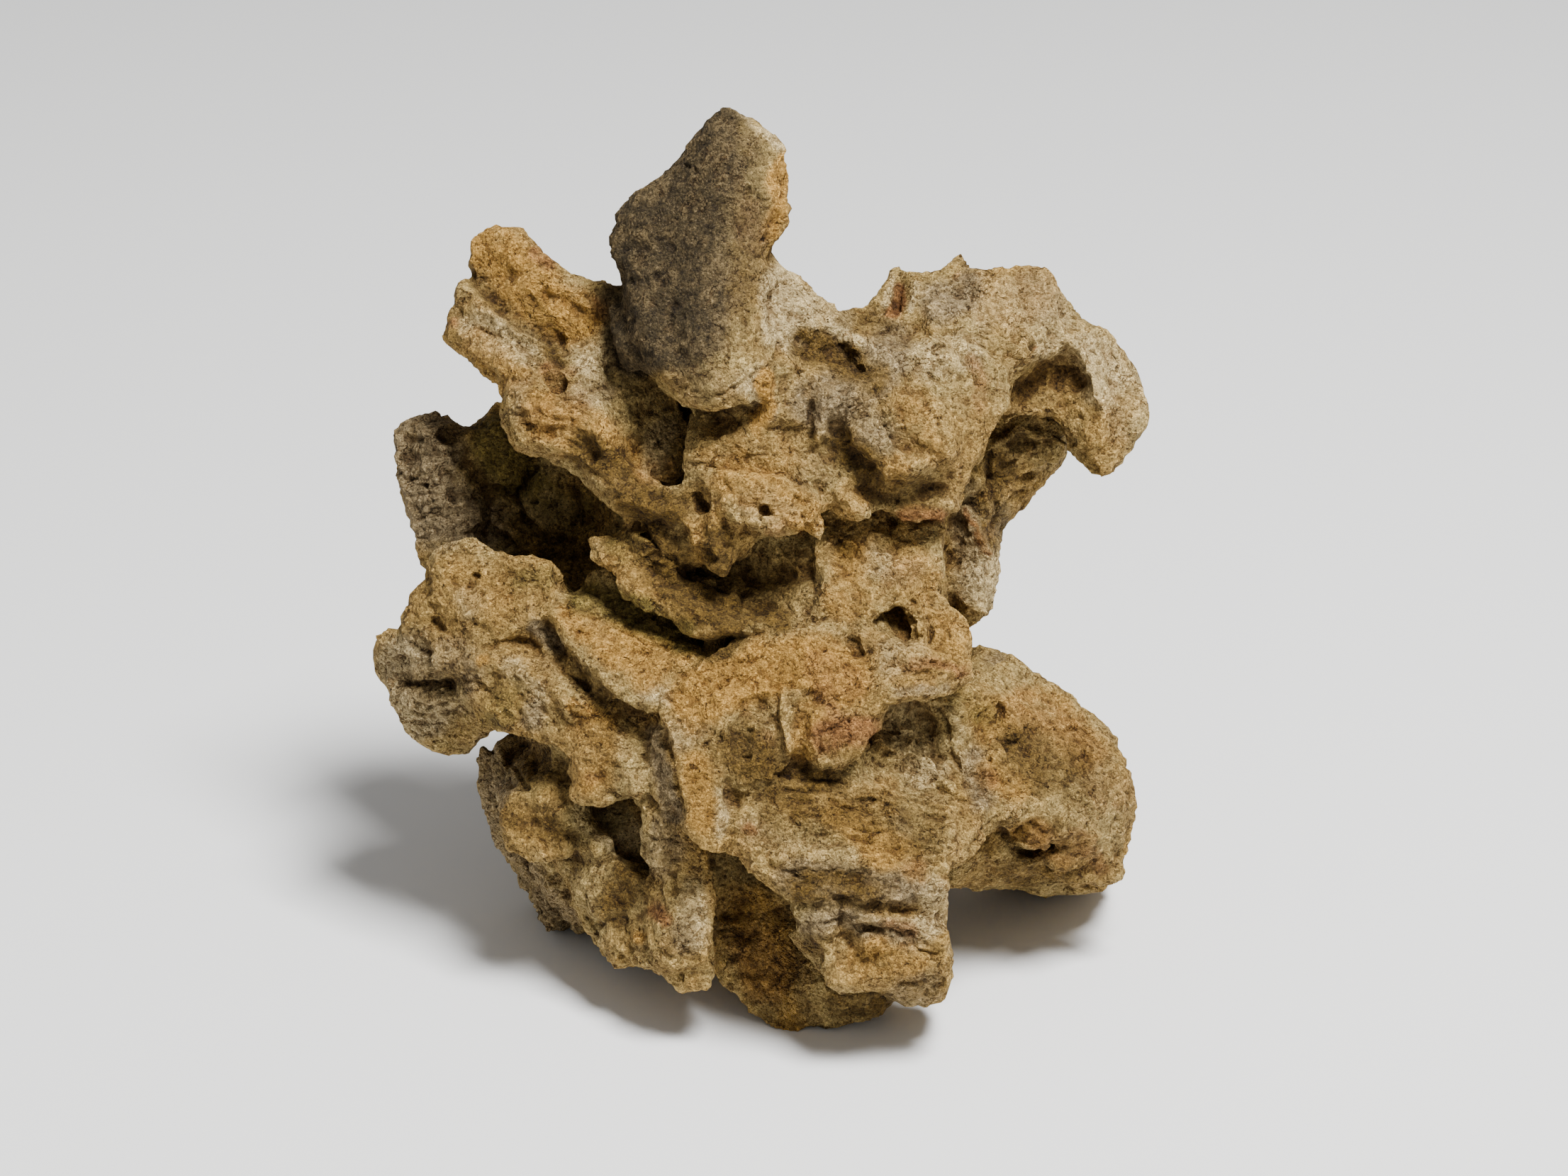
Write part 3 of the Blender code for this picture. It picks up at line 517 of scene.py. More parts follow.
    def averaged(self, values, rounds):
        """Values of the points after rounds of averaging with their neighbours."""
        mesh = self.piece.data
        ends = np.empty(len(mesh.edges) * 2, np.int32)
        mesh.edges.foreach_get("vertices", ends)
        first, second = ends[::2], ends[1::2]
        count = len(self.points)
        share = np.bincount(ends, minlength=count).clip(1)
        soft = values.reshape(count, -1).copy()
        for _ in range(rounds):
            for axis in range(soft.shape[1]):
                total = np.bincount(first, soft[second, axis], count)
                total += np.bincount(second, soft[first, axis], count)
                soft[:, axis] = (soft[:, axis] + total / share) / 2
        return soft.reshape(values.shape)


# The rock's shape


def settled(piece):
    """Turns the piece's modifiers into plain mesh."""
    graph = bpy.context.evaluated_depsgraph_get()
    mesh = bpy.data.meshes.new_from_object(piece.evaluated_get(graph))
    old = piece.data
    piece.modifiers.clear()
    piece.data = mesh
    bpy.data.meshes.remove(old)


def new_piece(name, mesh):
    """An object with that mesh, in the scene."""
    made = bpy.data.objects.new(name, mesh)
    bpy.context.scene.collection.objects.link(made)
    bpy.context.view_layer.update()
    return made


def rough_rock():
    """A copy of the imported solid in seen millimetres."""
    shape = bmesh.new()
    shape.from_mesh(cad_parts["limestone_rock"].data)
    bmesh.ops.remove_doubles(shape, verts=shape.verts, dist=1e-6)
    shape.transform(TO_WORLD.inverted())
    mesh = bpy.data.meshes.new("limestone_rock_skin")
    shape.to_mesh(mesh)
    shape.free()
    return new_piece("weathered_limestone", mesh)


def each(make, *rows):
    """Calls make once for each row, with the row's values."""
    for row in rows:
        make(*row)


def gathered(guide=None):
    """Every form's stones, the small ones lifted to the guide where it would hide them."""
    bpy.context.view_layer.update()
    rubble = Rubble(STONE_SEED, guide)
    for gather in STONES:
        gather(rubble)
    return rubble


def add_stones(piece, stones, rounds):
    """Joins stones to the piece under one skin."""
    stones.from_mesh(piece.data)
    stones.to_mesh(piece.data)
    stones.free()
    fine_skin(piece, rounds)


def fine_skin(piece, rounds):
    """Gives the piece one even skin of small squares and rubs off its finest steps."""
    skin = piece.modifiers.new("skin", "REMESH")
    skin.mode = "VOXEL"
    skin.voxel_size = SKIN_GRAIN
    if rounds:
        soften = piece.modifiers.new("soften", "SMOOTH")
        soften.factor = 0.5
        soften.iterations = rounds
    settled(piece)


def squared(skin, triangles, share):
    """Draws the skin towards the flat facets of a much coarser copy of it."""
    coarse = skin.piece.copy()
    coarse.data = skin.piece.data.copy()
    bpy.context.scene.collection.objects.link(coarse)
    bpy.context.view_layer.update()
    thin(coarse, triangles)
    bpy.context.view_layer.update()
    pulled = skin.piece.modifiers.new("facets", "SHRINKWRAP")
    pulled.target = coarse
    graph = bpy.context.evaluated_depsgraph_get()
    mesh = skin.piece.evaluated_get(graph).to_mesh()
    flat = np.empty(len(skin.points) * 3, np.float32)
    mesh.vertices.foreach_get("co", flat)
    skin.piece.evaluated_get(graph).to_mesh_clear()
    skin.piece.modifiers.clear()
    skin.points += (flat.reshape(-1, 3) - skin.points) * share
    skin.renew()
    bpy.data.objects.remove(coarse)


def weathering_tree():
    """A node tree that weathers a skin along its normals, in millimetres."""
    tree = bpy.data.node_groups.new("weathering", "GeometryNodeTree")
    tree.interface.new_socket("Geometry", in_out="INPUT", socket_type="NodeSocketGeometry")
    for name, value in WEAR.items():
        socket = tree.interface.new_socket(name, in_out="INPUT", socket_type="NodeSocketFloat")
        socket.default_value = value
    tree.interface.new_socket("Geometry", in_out="OUTPUT", socket_type="NodeSocketGeometry")
    given = add(tree, "NodeGroupInput")
    result = add(tree, "NodeGroupOutput")
    place = add(tree, "GeometryNodeInputPosition").outputs[0]

    def scale(name):
        return math_node(tree, "DIVIDE", 1.0, given.outputs[name])

    def mask(name):
        made = add(tree, "GeometryNodeInputNamedAttribute", {"Name": name}, data_type="FLOAT")
        return made.outputs["Attribute"]

    def times(*values):
        total = values[0]
        for value in values[1:]:
            total = math_node(tree, "MULTIPLY", total, value)
        return total

    def ridges(where, name, detail):
        """Sharp crests between round hollows, 0 in the hollows and up to 1 on the crests."""
        wires = {"Vector": where, "Scale": scale(name), "Detail": detail}
        waves = add(tree, "ShaderNodeTexNoise", wires)
        off = math_node(tree, "ABSOLUTE", math_node(tree, "SUBTRACT", waves.outputs[0], 0.5))
        return math_node(tree, "SUBTRACT", 1.0, times(off, 5.0))

    warp = add(tree, "ShaderNodeTexNoise", {"Vector": place, "Scale": BEND_SCALE, "Detail": 2.0})
    bend = vector_node(tree, "SUBTRACT", warp.outputs["Color"], (0.5, 0.5, 0.5))
    bend = add(tree, "ShaderNodeVectorMath", {0: bend, "Scale": BEND_REACH}, operation="SCALE")
    bend = bend.outputs[0]
    bent = vector_node(tree, "ADD", place, bend)

    def swells(where, size, height, roughness):
        """Rises and dents about a middle level, with finer ones on them."""
        wires = {"Vector": where, "Scale": scale(size), "Detail": 5.0, "Roughness": roughness}
        waves = add(tree, "ShaderNodeTexNoise", wires)
        return times(math_node(tree, "SUBTRACT", waves.outputs[0], 0.5), given.outputs[height], 2.0)

    lump = swells(place, "Lump Size", "Lump Height", 0.62)
    dent = times(swells(bent, "Dent Size", "Dent Depth", 0.6), mask("wear"))

    scars = math_node(tree, "SUBTRACT", ridges(bent, "Scar Size", 3.0), 0.6)
    scar = times(scars, given.outputs["Scar Depth"], mask("wear"))

    crumbs = add(tree, "ShaderNodeTexVoronoi", {"Vector": bent, "Scale": scale("Crumb Size")})
    chosen = add(tree, "FunctionNodeSeparateColor", {0: crumbs.outputs["Color"]}).outputs[0]
    dome = ramped(tree, crumbs.outputs["Distance"], 0.65, 0.2)
    chosen = math_node(tree, "SUBTRACT", chosen, 0.35)
    crumb = times(dome, chosen, given.outputs["Crumb Height"], 1.6, mask("crumble"))

    layers = vector_node(tree, "MULTIPLY", bent, BED_STRETCH)
    beds = ridges(layers, "Bed Thickness", 3.0)
    bed = times(math_node(tree, "SUBTRACT", beds, 0.6), given.outputs["Bed Depth"], mask("bedding"))

    grain = swells(place, "Grit Size", "Grit Height", 0.5)

    height = lump
    for layer in (scar, dent, crumb, bed, grain):
        height = math_node(tree, "ADD", height, layer)
    normal = add(tree, "GeometryNodeInputNormal").outputs[0]
    offset = add(tree, "ShaderNodeVectorMath", {0: normal, "Scale": height}, operation="SCALE")
    moved = add(tree, "GeometryNodeSetPosition",
                {"Geometry": given.outputs["Geometry"], "Offset": offset.outputs[0]})
    tree.links.new(moved.outputs[0], result.inputs["Geometry"])
    return tree


def weather(piece, sizes=None):
    """Weathers the skin with the tree's own sizes or with those given, and makes it plain mesh."""
    worn = piece.modifiers.new("weathering", "NODES")
    worn.node_group = bpy.data.node_groups.get("weathering") or weathering_tree()
    for socket in worn.node_group.interface.items_tree:
        if socket.name in (sizes or {}):
            worn[socket.identifier] = sizes[socket.name]
    settled(piece)


def thin(piece, triangles, behind=""):
    """Leaves about that many triangles, most where the skin bends. What lies behind goes first."""
    if behind:
        hidden = sum(bool(point.groups) for point in piece.data.vertices) / len(piece.data.vertices)
        coarser = piece.modifiers.new("thin_behind", "DECIMATE")
        coarser.vertex_group = behind
        coarser.ratio = 1 - hidden * (1 - BACK_SHARE)
        settled(piece)
    piece.data.calc_loop_triangles()
    fewer = piece.modifiers.new("thin", "DECIMATE")
    fewer.ratio = min(1.0, triangles / len(piece.data.loop_triangles))
    settled(piece)


# The small stones of each form


def stones_of_horn(rubble):
    """The pale cap edge, the nub on the right flank and the floor of the saddle beside the horn."""
    each(rubble.spur,
        ((-9, 113.2, 33, 1.6), (-4, 110.6, 34, 1.4), (1, 107.5, 33, 1.5), (5, 103, 31, 1.5)),
        ((4, 90, 30, 2.0), (7, 89.4, 29, 1.0)))
    each(rubble.face,
        (2.5, (2, 75, 27), (8, 69, 24), (16, 63.5, 22), (18, 59, 26), (8, 58, 30), (3, 57, 35)),
        (2.0, (4, 57, 29), (22, 60, 22), (26, 51, 26), (7, 49, 28)),
        (3.0, (4, 52, 36), (20, 47.6, 33), (14, 39, 36), (4, 38, 37)))
    rubble.slab(1.6, (6, 53, 30), (14, 53, 30), (14, 60, 26), (7, 60, 27))
    rubble.face(2.5, (-16, 36, 26), (0, 38, 35), (3, 27, 36), (-17, 26, 32))


def stones_of_left_arm(rubble):
    """Fillings of the arm's side, its plate, the streaked strip and the wall beside the bowl."""
    rubble.slab(2.5, (-74, 70, 6), (-70, 62, 8), (-60, 58, 9), (-52, 58, 9), (-56, 70, 6))
    each(rubble.block,
        ((-76, 64, 7, 1.5), (-74, 58, 9, 1.5), (-66, 51, 12, 1.5), (-57, 47, 15, 2), (-60, 53, 11, 2),
         (-68, 62, 8, 1.5)),
        ((-58, 52, 12, 2), (-50, 54, 10, 2), (-42, 54, 10, 2), (-42, 46, 14, 2.5), (-52, 47, 15, 2)))
    rubble.slab(2, (-38, 52, 9), (-31, 53, 6), (-25, 47, 4), (-23, 39, 2), (-34, 38, 13))
    each(rubble.spur,
        ((-69, 66, 9, 1.8), (-63, 61, 10.5, 1.7), (-55, 56.5, 12, 1.6)),
        ((-62, 78, 9, 2.0), (-56, 73, 10, 2.0), (-49, 69, 10, 1.8), (-41, 66, 11, 1.8)))
    rubble.block((-36, 64, 22, 2.5), (-34, 57, 22, 3.0), (-31, 52, 24, 2.5), (-29, 60, 28, 3.0))
    each(rubble.face,
        (2.5, (-61, 43, 25), (-45, 43, 28), (-37, 33, 29), (-44, 31, 27), (-59, 34, 24)),
        (3.0, (-34, 50, 17), (-24, 44, 15), (-20, 34, 15), (-22, 24, 19), (-32, 27, 22), (-35, 40, 22)))


def stones_of_collar(rubble):
    """The sharp spike and the hanging spur under the bowl, the snout's lips and its fang."""
    rubble.spur(
        (-30, 16.5, 27, 1.8), (-23, 14.5, 29, 1.6), (-18, 12.5, 31, 1.5), (-16, 9, 31.5, 1.2),
        (-16.3, 6.6, 31.5, 0.7))
    rubble.block(
        (-15, 8, 32, 1.3), (-11, 4, 33, 1.0), (-10, -1.2, 32, 0.8), (-5, 4, 32, 1.2), (-3, 8, 34, 1.3))
    rubble.spur((-26, 12, 25, 1.4), (-24, 7, 24, 1.4), (-19, 2, 24, 1.3))
    each(rubble.block,
        ((-10, 23, 35, 2), (-8, 16, 37, 1.6), (-3, 12.5, 39, 1.4), (6, 12, 40, 1.4), (13, 14.5, 38, 1.4),
         (13, 18, 37, 2), (0, 22, 37, 2)),
        ((-3, 10.5, 36, 1.2), (2, 8.3, 35, 1.0), (9, 9.6, 36, 1.0), (12, 12, 37, 1.2)))
    each(rubble.spur,
        ((13, 12, 36, 1.6), (14, 9, 35.5, 1.0), (14.3, 7.4, 35, 0.6)),
        ((-14, 24, 30, 1.4), (-13, 17, 31, 1.2), (-12.5, 11, 32, 1.2)),
        ((-39, 21.5, 22, 1.2), (-37, 17.5, 22, 0.9), (-36.5, 14.5, 22, 0.5)))


def stones_of_lobe(rubble):
    """The right lobe's spikes, cream rims, pale ridge, horseshoe, lumps and rust rim."""
    each(rubble.face,
        (2.5, (30, 50, 32), (44, 56, 27), (57, 50, 20), (57, 41, 25), (46, 28, 32), (37, 27, 37),
         (29, 38, 36)),
        (2.0, (42, 72, 8), (54, 71, 8), (70, 72, 7), (72, 60, 10), (56, 56, 18), (40, 62, 17)),
        (2.0, (62, 46, 6), (70, 52, 6), (76, 56, 7), (80, 44, 3), (72, 40, 1), (62, 40, 5)))
    each(rubble.spur,
        ((33.5, 70, 6, 2.2), (32.4, 73.6, 5, 1.4), (33.5, 74.6, 5, 0.9)),
        ((46, 72, 6, 2.6), (48.5, 75.5, 5, 1.5), (49.4, 77.6, 5, 0.7)),
        ((53, 71, 5, 2.0), (56, 73.4, 5, 1.2), (62, 73, 5, 1.4), (67, 74, 5, 1.2), (71, 72, 4, 1.6)),
        ((31, 71, 8, 1.2), (30, 66, 10, 1.2), (31.5, 62.5, 14, 1.2)),
        ((38, 71, 7, 1.4), (39, 66.5, 9, 1.4), (36, 63, 14, 1.2)),
        ((17, 62, 18, 1.4), (20, 58.5, 22, 1.4), (24, 55.5, 26, 1.4), (29, 53, 29, 1.5), (33, 50, 29, 1.4)))
    rubble.slab(2.0, (12, 44, 31), (30, 44, 33), (20, 36, 30), (14, 34, 30), (28, 32, 32), (30, 26, 31))
    each(rubble.spur,
        ((27, 44.5, 34.5, 1.6), (22, 43, 35, 1.8), (17.5, 40, 35, 1.8), (15, 36, 34.5, 1.6),
         (14.2, 32.5, 33.5, 1.2)),
        ((29, 43, 35, 1.8), (24, 38, 36, 1.9), (23.5, 33, 36, 1.8), (26.5, 28, 36, 1.8)))
    each(rubble.block,
        ((28, 28, 36, 2.2), (31, 23.6, 38, 1.6), (35.5, 23.6, 38, 1.4), (35, 27.5, 37, 2.0)),
        ((34, 42, 34, 2), (36, 37, 37, 2), (40, 33, 37.5, 2), (45, 30, 35.5, 1.6), (41, 40, 34, 2)),
        ((18, 13.6, 30, 1.4), (23.5, 13.4, 31, 1.3), (26.2, 15.6, 31, 1.0), (22, 19, 32, 1.8),
         (17.6, 18, 32, 1.6)),
        ((34, 14.4, 29, 1.0), (39, 13.4, 29, 1.0), (45, 14.6, 28, 1.0), (46, 18, 27, 1.4),
         (36, 18, 30, 1.4)),
        ((48, 40, 30, 2.0), (58, 40, 24, 1.5), (60, 46, 18, 1.5), (52, 30, 28, 1.5), (48, 20, 26, 1.5),
         (44, 30, 32, 2.0)),
        ((60, 60, 8, 2), (76, 57, 4, 2), (70, 52, 8, 1.5), (64, 48, 10, 1.5), (60, 41, 14, 1.2)))
    rubble.spur(
        (75, 57, 6, 1.5), (78.5, 53, 7, 1.4), (80.5, 48, 8, 1.4), (83.5, 42, 8, 1.6), (84.5, 33, 7, 1.8))
    rubble.block(
        (80, 44, 5, 2.5), (92, 46, 3, 2), (94, 37, 2, 1.4), (88, 31, 4, 1.4), (84, 24, 4, 1.2),
        (81, 33, 5, 2))
    rubble.spur(
        (60.5, 37.6, -2, 1.2), (66, 39.6, -1, 1.1), (70.5, 40.4, 0, 1.2), (74.5, 36, 2, 1.2),
        (80, 30, 3, 1.2))


def stones_of_plate(rubble):
    """The torn teeth of the ragged plate, the crumbs in the cavity and the thin leaves behind."""
    each(rubble.block,
        ((-42, 8, 19, 1.1), (-41.5, 3.5, 20, 0.9), (-35, -0.4, 21, 0.9), (-30, 4, 22, 1.6),
         (-34, 9, 20, 1.6)),
        ((-34, -0.6, 21, 1.0), (-33.8, -5.8, 22, 0.7), (-28, -7.4, 24, 0.8), (-26, -2, 24, 1.4)),
        ((-27, -7.2, 24, 0.9), (-20.5, -10, 26, 0.8), (-19, -5, 26, 1.4), (-25, -3, 25, 1.4)),
        ((-20, -9.6, 26, 0.9), (-13.5, -14.8, 28, 0.9), (-9.4, -15.2, 28.5, 0.8), (-9, -12.4, 28, 1.0),
         (-16, -7, 27, 1.2)))
    rubble.spur(
        (-9, -13.6, 28, 1.1), (-4, -14, 27, 1.0), (2, -13.6, 27, 0.9), (8, -12.4, 27, 1.0),
        (13, -11, 26, 1.2))
    rubble.block(
        (3.5, -8.4, 22, 1.0), (8, -10, 22, 0.9), (12, -8, 22, 1.0), (10.5, -3.8, 21, 0.9),
        (6, -3.6, 21, 0.9))
    each(rubble.spur,
        ((3.2, -7.4, 23, 1.2), (5.2, -6.4, 24, 0.9)), ((6, -4.4, 23, 0.9), (9.5, -3.8, 23, 0.8)),
        ((-11.4, -16.5, 18, 0.7), (-11.2, -22.5, 19, 0.8)))
    for u, v, w in ((-38, -3, 8), (-33, -7, 9), (-27, -10, 12), (-23, -13, 14)):
        rubble.block(
            (u - 5, v + 1, w, 0.5), (u + 4, v + 3, w + 2, 0.5), (u + 6, v - 5, w + 4, 0.5),
            (u - 2, v - 5, w + 3, 0.5),
        )
    each(rubble.spur,
        ((-44, -5.5, 8, 0.9), (-36, -9, 11, 0.9), (-30, -10.5, 13, 0.8)),
        ((-25, -12, 15, 0.7), (-22, -17, 19, 0.8), (-15, -21.5, 21, 0.7)))


def stones_of_neck(rubble):
    """The neck's torn left edge, the window's arch with its drip, and the right strut."""
    rubble.face(
        2.5, (17, 16, 17), (43, 16, 14), (16, 8, 22), (43, 7, 20), (43, -4, 22), (34, -5, 24), (26, -10, 28),
        (17, -9, 27), (15, 0, 22))
    each(rubble.spur,
        ((15, 8, 20, 1.6), (14.6, 2, 21, 1.5), (16.4, -3, 20, 1.5), (16, -8, 22, 1.6), (13, -11, 25, 1.5)),
        ((44.5, 10, 12, 1.2), (43.6, 4, 14, 1.3), (42.8, -1, 16, 1.2), (43.5, -6, 18, 1.2),
         (46, -10.5, 21, 1.4), (50, -16.5, 24, 1.5)),
        ((34.5, -7.5, 20, 1.6), (37, -12, 21, 1.3), (40, -16.6, 22, 0.9)))
    each(rubble.face,
        (1.2, (28, -8, 16), (38, -8, 15), (41, -18, 19), (36, -19, 20), (31, -16, 18)),
        (1.5, (-4, 8, 19), (13, 9, 17), (14, -3, 19), (0, -4, 18), (-6, 2, 17)))
    each(rubble.spur,
        ((3, 7, 22, 1.0), (3.6, 2, 21, 1.0)), ((8, 8, 22, 1.1), (7.4, 3, 21, 1.1), (9, -1, 21, 0.9)),
        ((38, -8, 19, 1.6), (42.5, -12.5, 21, 1.3), (43, -17, 23, 1.2)),
        ((30.5, 0.5, 19, 1.2), (36, 1.2, 18.5, 1.2), (41, 0.5, 17, 1.0)))
    rubble.block((50, 22, -6, 1.2), (54, 26, -6, 1.2), (53, 20.6, -6, 0.8), (48, 18, -7, 1.2))
    each(rubble.spur,
        ((50.5, 15, -6, 1.1), (52.5, 11, -6, 1.1), (55, 6, -6, 1.1), (56, 4, -6, 0.9)),
        ((59, 30, -11, 1.0), (64, 28.4, -13, 1.0), (69, 25.6, -17, 1.0)))
    rubble.face(1.5, (58, 38, -8), (66, 39, -7), (74, 35, -8), (72, 28, -13), (60, 24, -11), (54, 26, -8))
    each(rubble.spur,
        ((57, 31, -6, 1.4), (63, 34.6, -5, 1.4), (69, 33.6, -6, 1.2), (74, 31, -8, 1.0)),
        ((60, 19, -12, 0.9), (62, 21, -13, 0.9), (67, 22.6, -17, 0.9)),
        ((46.5, -1, -7, 1.6), (49, -6, -7, 1.8), (54, -9, -9, 1.6), (55.5, -10.6, -9, 1.0)),
        ((50, 1, -7, 1.3), (50.6, -3, -7, 1.2)))


def stones_of_left_back(rubble):
    """Crumb ridges on the back block, the two smooth calcite fans and the brown lumps below."""
    each(rubble.spur,
        ((-82, 35, -13, 1.3), (-79.5, 32, -13, 1.2), (-78.5, 28, -13, 1.2), (-77, 25.4, -13, 1.0)),
        ((-79, 30.4, -13, 1.0), (-75, 30.2, -13.4, 0.9), (-74.2, 27, -13.4, 0.9), (-76.4, 24.6, -13, 0.9)),
        ((-83, 33, -13.4, 0.9), (-81, 35.6, -14, 0.9), (-77, 36.6, -15, 0.9)),
        ((-73, 23.4, -14, 1.2), (-72, 20.4, -14, 1.0), (-68.6, 21.6, -15, 0.8)),
        ((-77.6, 16.4, -13, 1.0), (-74.6, 15.6, -13, 1.0), (-72.6, 17.6, -14, 0.8)))
    each(rubble.slab,
        (1.2, (-71, 30, -19), (-66, 37, -20), (-61, 36, -19), (-57, 28, -18), (-60, 22, -18),
         (-68, 22, -18)),
        (1.0, (-59.6, 17, -17), (-55, 25, -18), (-48, 24, -18), (-44, 15, -18), (-48, 8.6, -17),
         (-56, 10.4, -17)))
    each(rubble.spur,
        ((-66, 13, -14, 1.6), (-60, 8.6, -12, 1.5), (-56, 9, -12, 1.2), (-53.6, 6, -12, 1.2),
         (-57.6, 4.6, -12, 1.0)),
        ((-90, 33, -16, 1.6), (-88.6, 24, -16, 1.4), (-86, 14, -17, 1.4), (-84, 4, -18, 1.3)))


def stones_of_lower_left_arm(rubble):
    """The knobs on the arm's end, its lips, the golden slab's edge and the knuckle."""
    each(rubble.face,
        (2.0, (-79, 2, 6), (-54, 0, 11), (-52, -11, 16), (-62, -15, 15), (-78, -12, 8)),
        (2.0, (-74, -23, 11), (-56, -23, 18), (-46, -35, 22), (-58, -38, 15), (-68, -32, 12)))
    each(rubble.spur,
        ((-81, 2, 2, 1.6), (-77.6, 5, 4, 1.4), (-73, 5.8, 5, 1.4), (-68, 4.2, 7, 1.4)),
        ((-62, 2.2, 8, 1.0), (-56, 1.4, 8, 1.0), (-52, 0.6, 8, 1.0), (-50.6, -1.6, 8, 0.8)))
    each(rubble.block,
        ((-84, -4, 0, 1.6), (-86, -7, -1, 1.0), (-83, -11, 2, 1.6), (-79, -3, 4, 1.5)),
        ((-87, -12, -1, 1.4), (-84.6, -10, 1, 1.2), (-81.6, -16.6, 4, 1.0), (-85.6, -16, 0, 1.2)),
        ((-95, -16.4, -6, 1.0), (-91, -15.8, -5, 1.2), (-89, -19, -3, 1.4), (-93.6, -22, -6, 1.2)))
    each(rubble.spur,
        ((-88, -17, -2, 1.0), (-85.6, -21, 0, 1.2), (-84, -26, 0, 1.0)),
        ((-81, -17.6, 4, 1.0), (-77.6, -19, 6, 0.9)))
    rubble.block(
        (-92, -27, -8, 1.6), (-88, -38, -11, 1.6), (-80, -43, -9, 1.4), (-76, -32, -4, 1.8),
        (-84, -30, -4, 1.4))
    rubble.spur((-66, -34, 12, 1.4), (-62, -38.4, 13, 1.3), (-58, -41, 14, 1.2), (-52, -40, 17, 1.2))
    rubble.face(
        1.8, (-52, -8, 13), (-42, -7, 9), (-28, -17, 17), (-20, -27, 26), (-27, -33, 29), (-40, -26, 24))
    rubble.spur(
        (-51, -11, 16.6, 1.2), (-46.5, -18.5, 20.4, 1.2), (-40, -25.6, 24.6, 1.2), (-33, -31.4, 28, 1.2),
        (-29, -32.6, 29, 1.2))
    each(rubble.block,
        ((-46, -49, 20, 1.4), (-44.4, -55, 20, 1.4), (-40, -56.4, 22, 1.4), (-38, -50, 24, 1.8),
         (-42, -46, 22, 1.8)),
        ((-37, -52, 24, 1.6), (-31.6, -56, 26, 1.4), (-28, -50, 26, 1.8), (-35, -46, 24, 1.8)))
    rubble.spur((-64.6, -6.6, 14.4, 0.8), (-64, -6.4, 14.4, 0.6))


def stones_of_bridge(rubble):
    """The bridge's facets: its crest, square foot, rust-red block, drip and pointed right tip."""
    each(rubble.face,
        (2.0, (-18, -29, 31), (-6, -21, 30), (8, -15.6, 29), (16, -22, 33), (4, -29, 35), (-12, -33, 34)),
        (2.0, (10, -16, 30), (22, -15, 29), (48, -24, 27), (46, -28, 27), (30, -30, 32), (22, -33, 35),
         (6, -28, 35)))
    rubble.spur(
        (-22, -31, 29, 1.4), (-16, -26.4, 29, 1.4), (-8, -20, 28, 1.3), (0, -16, 27, 1.3), (8, -14, 27, 1.4))
    rubble.face(2.0, (-23, -34, 32), (-8, -31, 36), (-6, -44, 37), (-9, -55, 38), (-19, -52, 36))
    each(rubble.block,
        ((-20, -46, 36, 1.6), (-19, -63, 38, 1.2), (-12, -68.6, 38, 1.0), (-9.6, -62, 38, 1.2),
         (-10, -50, 38, 1.6)),
        ((-24, -38, 29, 1.6), (-27, -44, 25, 1.4), (-24, -58, 26, 1.4), (-20, -64, 30, 1.2),
         (-19, -46, 34, 1.2)),
        ((-9, -58, 38, 1.2), (-6, -60, 36, 1.2), (-8, -66, 36, 1.0), (-11.6, -68.4, 36, 0.9),
         (-13, -64, 38, 1.0)),
        ((-10, -38, 36, 1.6), (2, -40, 36, 1.6), (6, -47, 34, 1.2), (-3, -54, 35, 1.4), (-9, -52, 37, 1.4)))
    rubble.spur((4.6, -31, 36, 1.1), (5, -38, 37, 1.2), (6.6, -42, 37.6, 1.1), (7.4, -45, 37, 0.6))
    each(rubble.block,
        ((15, -36, 36, 1.2), (11.6, -45, 35, 1.2), (14, -47.6, 34.6, 1.0), (18.4, -47, 34.6, 1.0),
         (24, -42.6, 34, 1.2), (26.4, -38.6, 32.6, 1.1), (20, -34, 35, 1.4)),
        ((24, -34, 32, 1.6), (28.6, -35.6, 30, 1.0), (30.6, -31.6, 29, 1.0), (26, -29, 32, 1.6)),
        ((36, -22, 27, 2.0), (48, -22, 25.6, 1.4), (51.4, -25.6, 25, 0.8), (47, -29, 23, 1.0),
         (38, -30, 25, 1.3)))
    rubble.spur((33, -17.5, 25, 1.2), (36.5, -19.6, 26, 1.0), (41, -19.2, 26, 1.0))


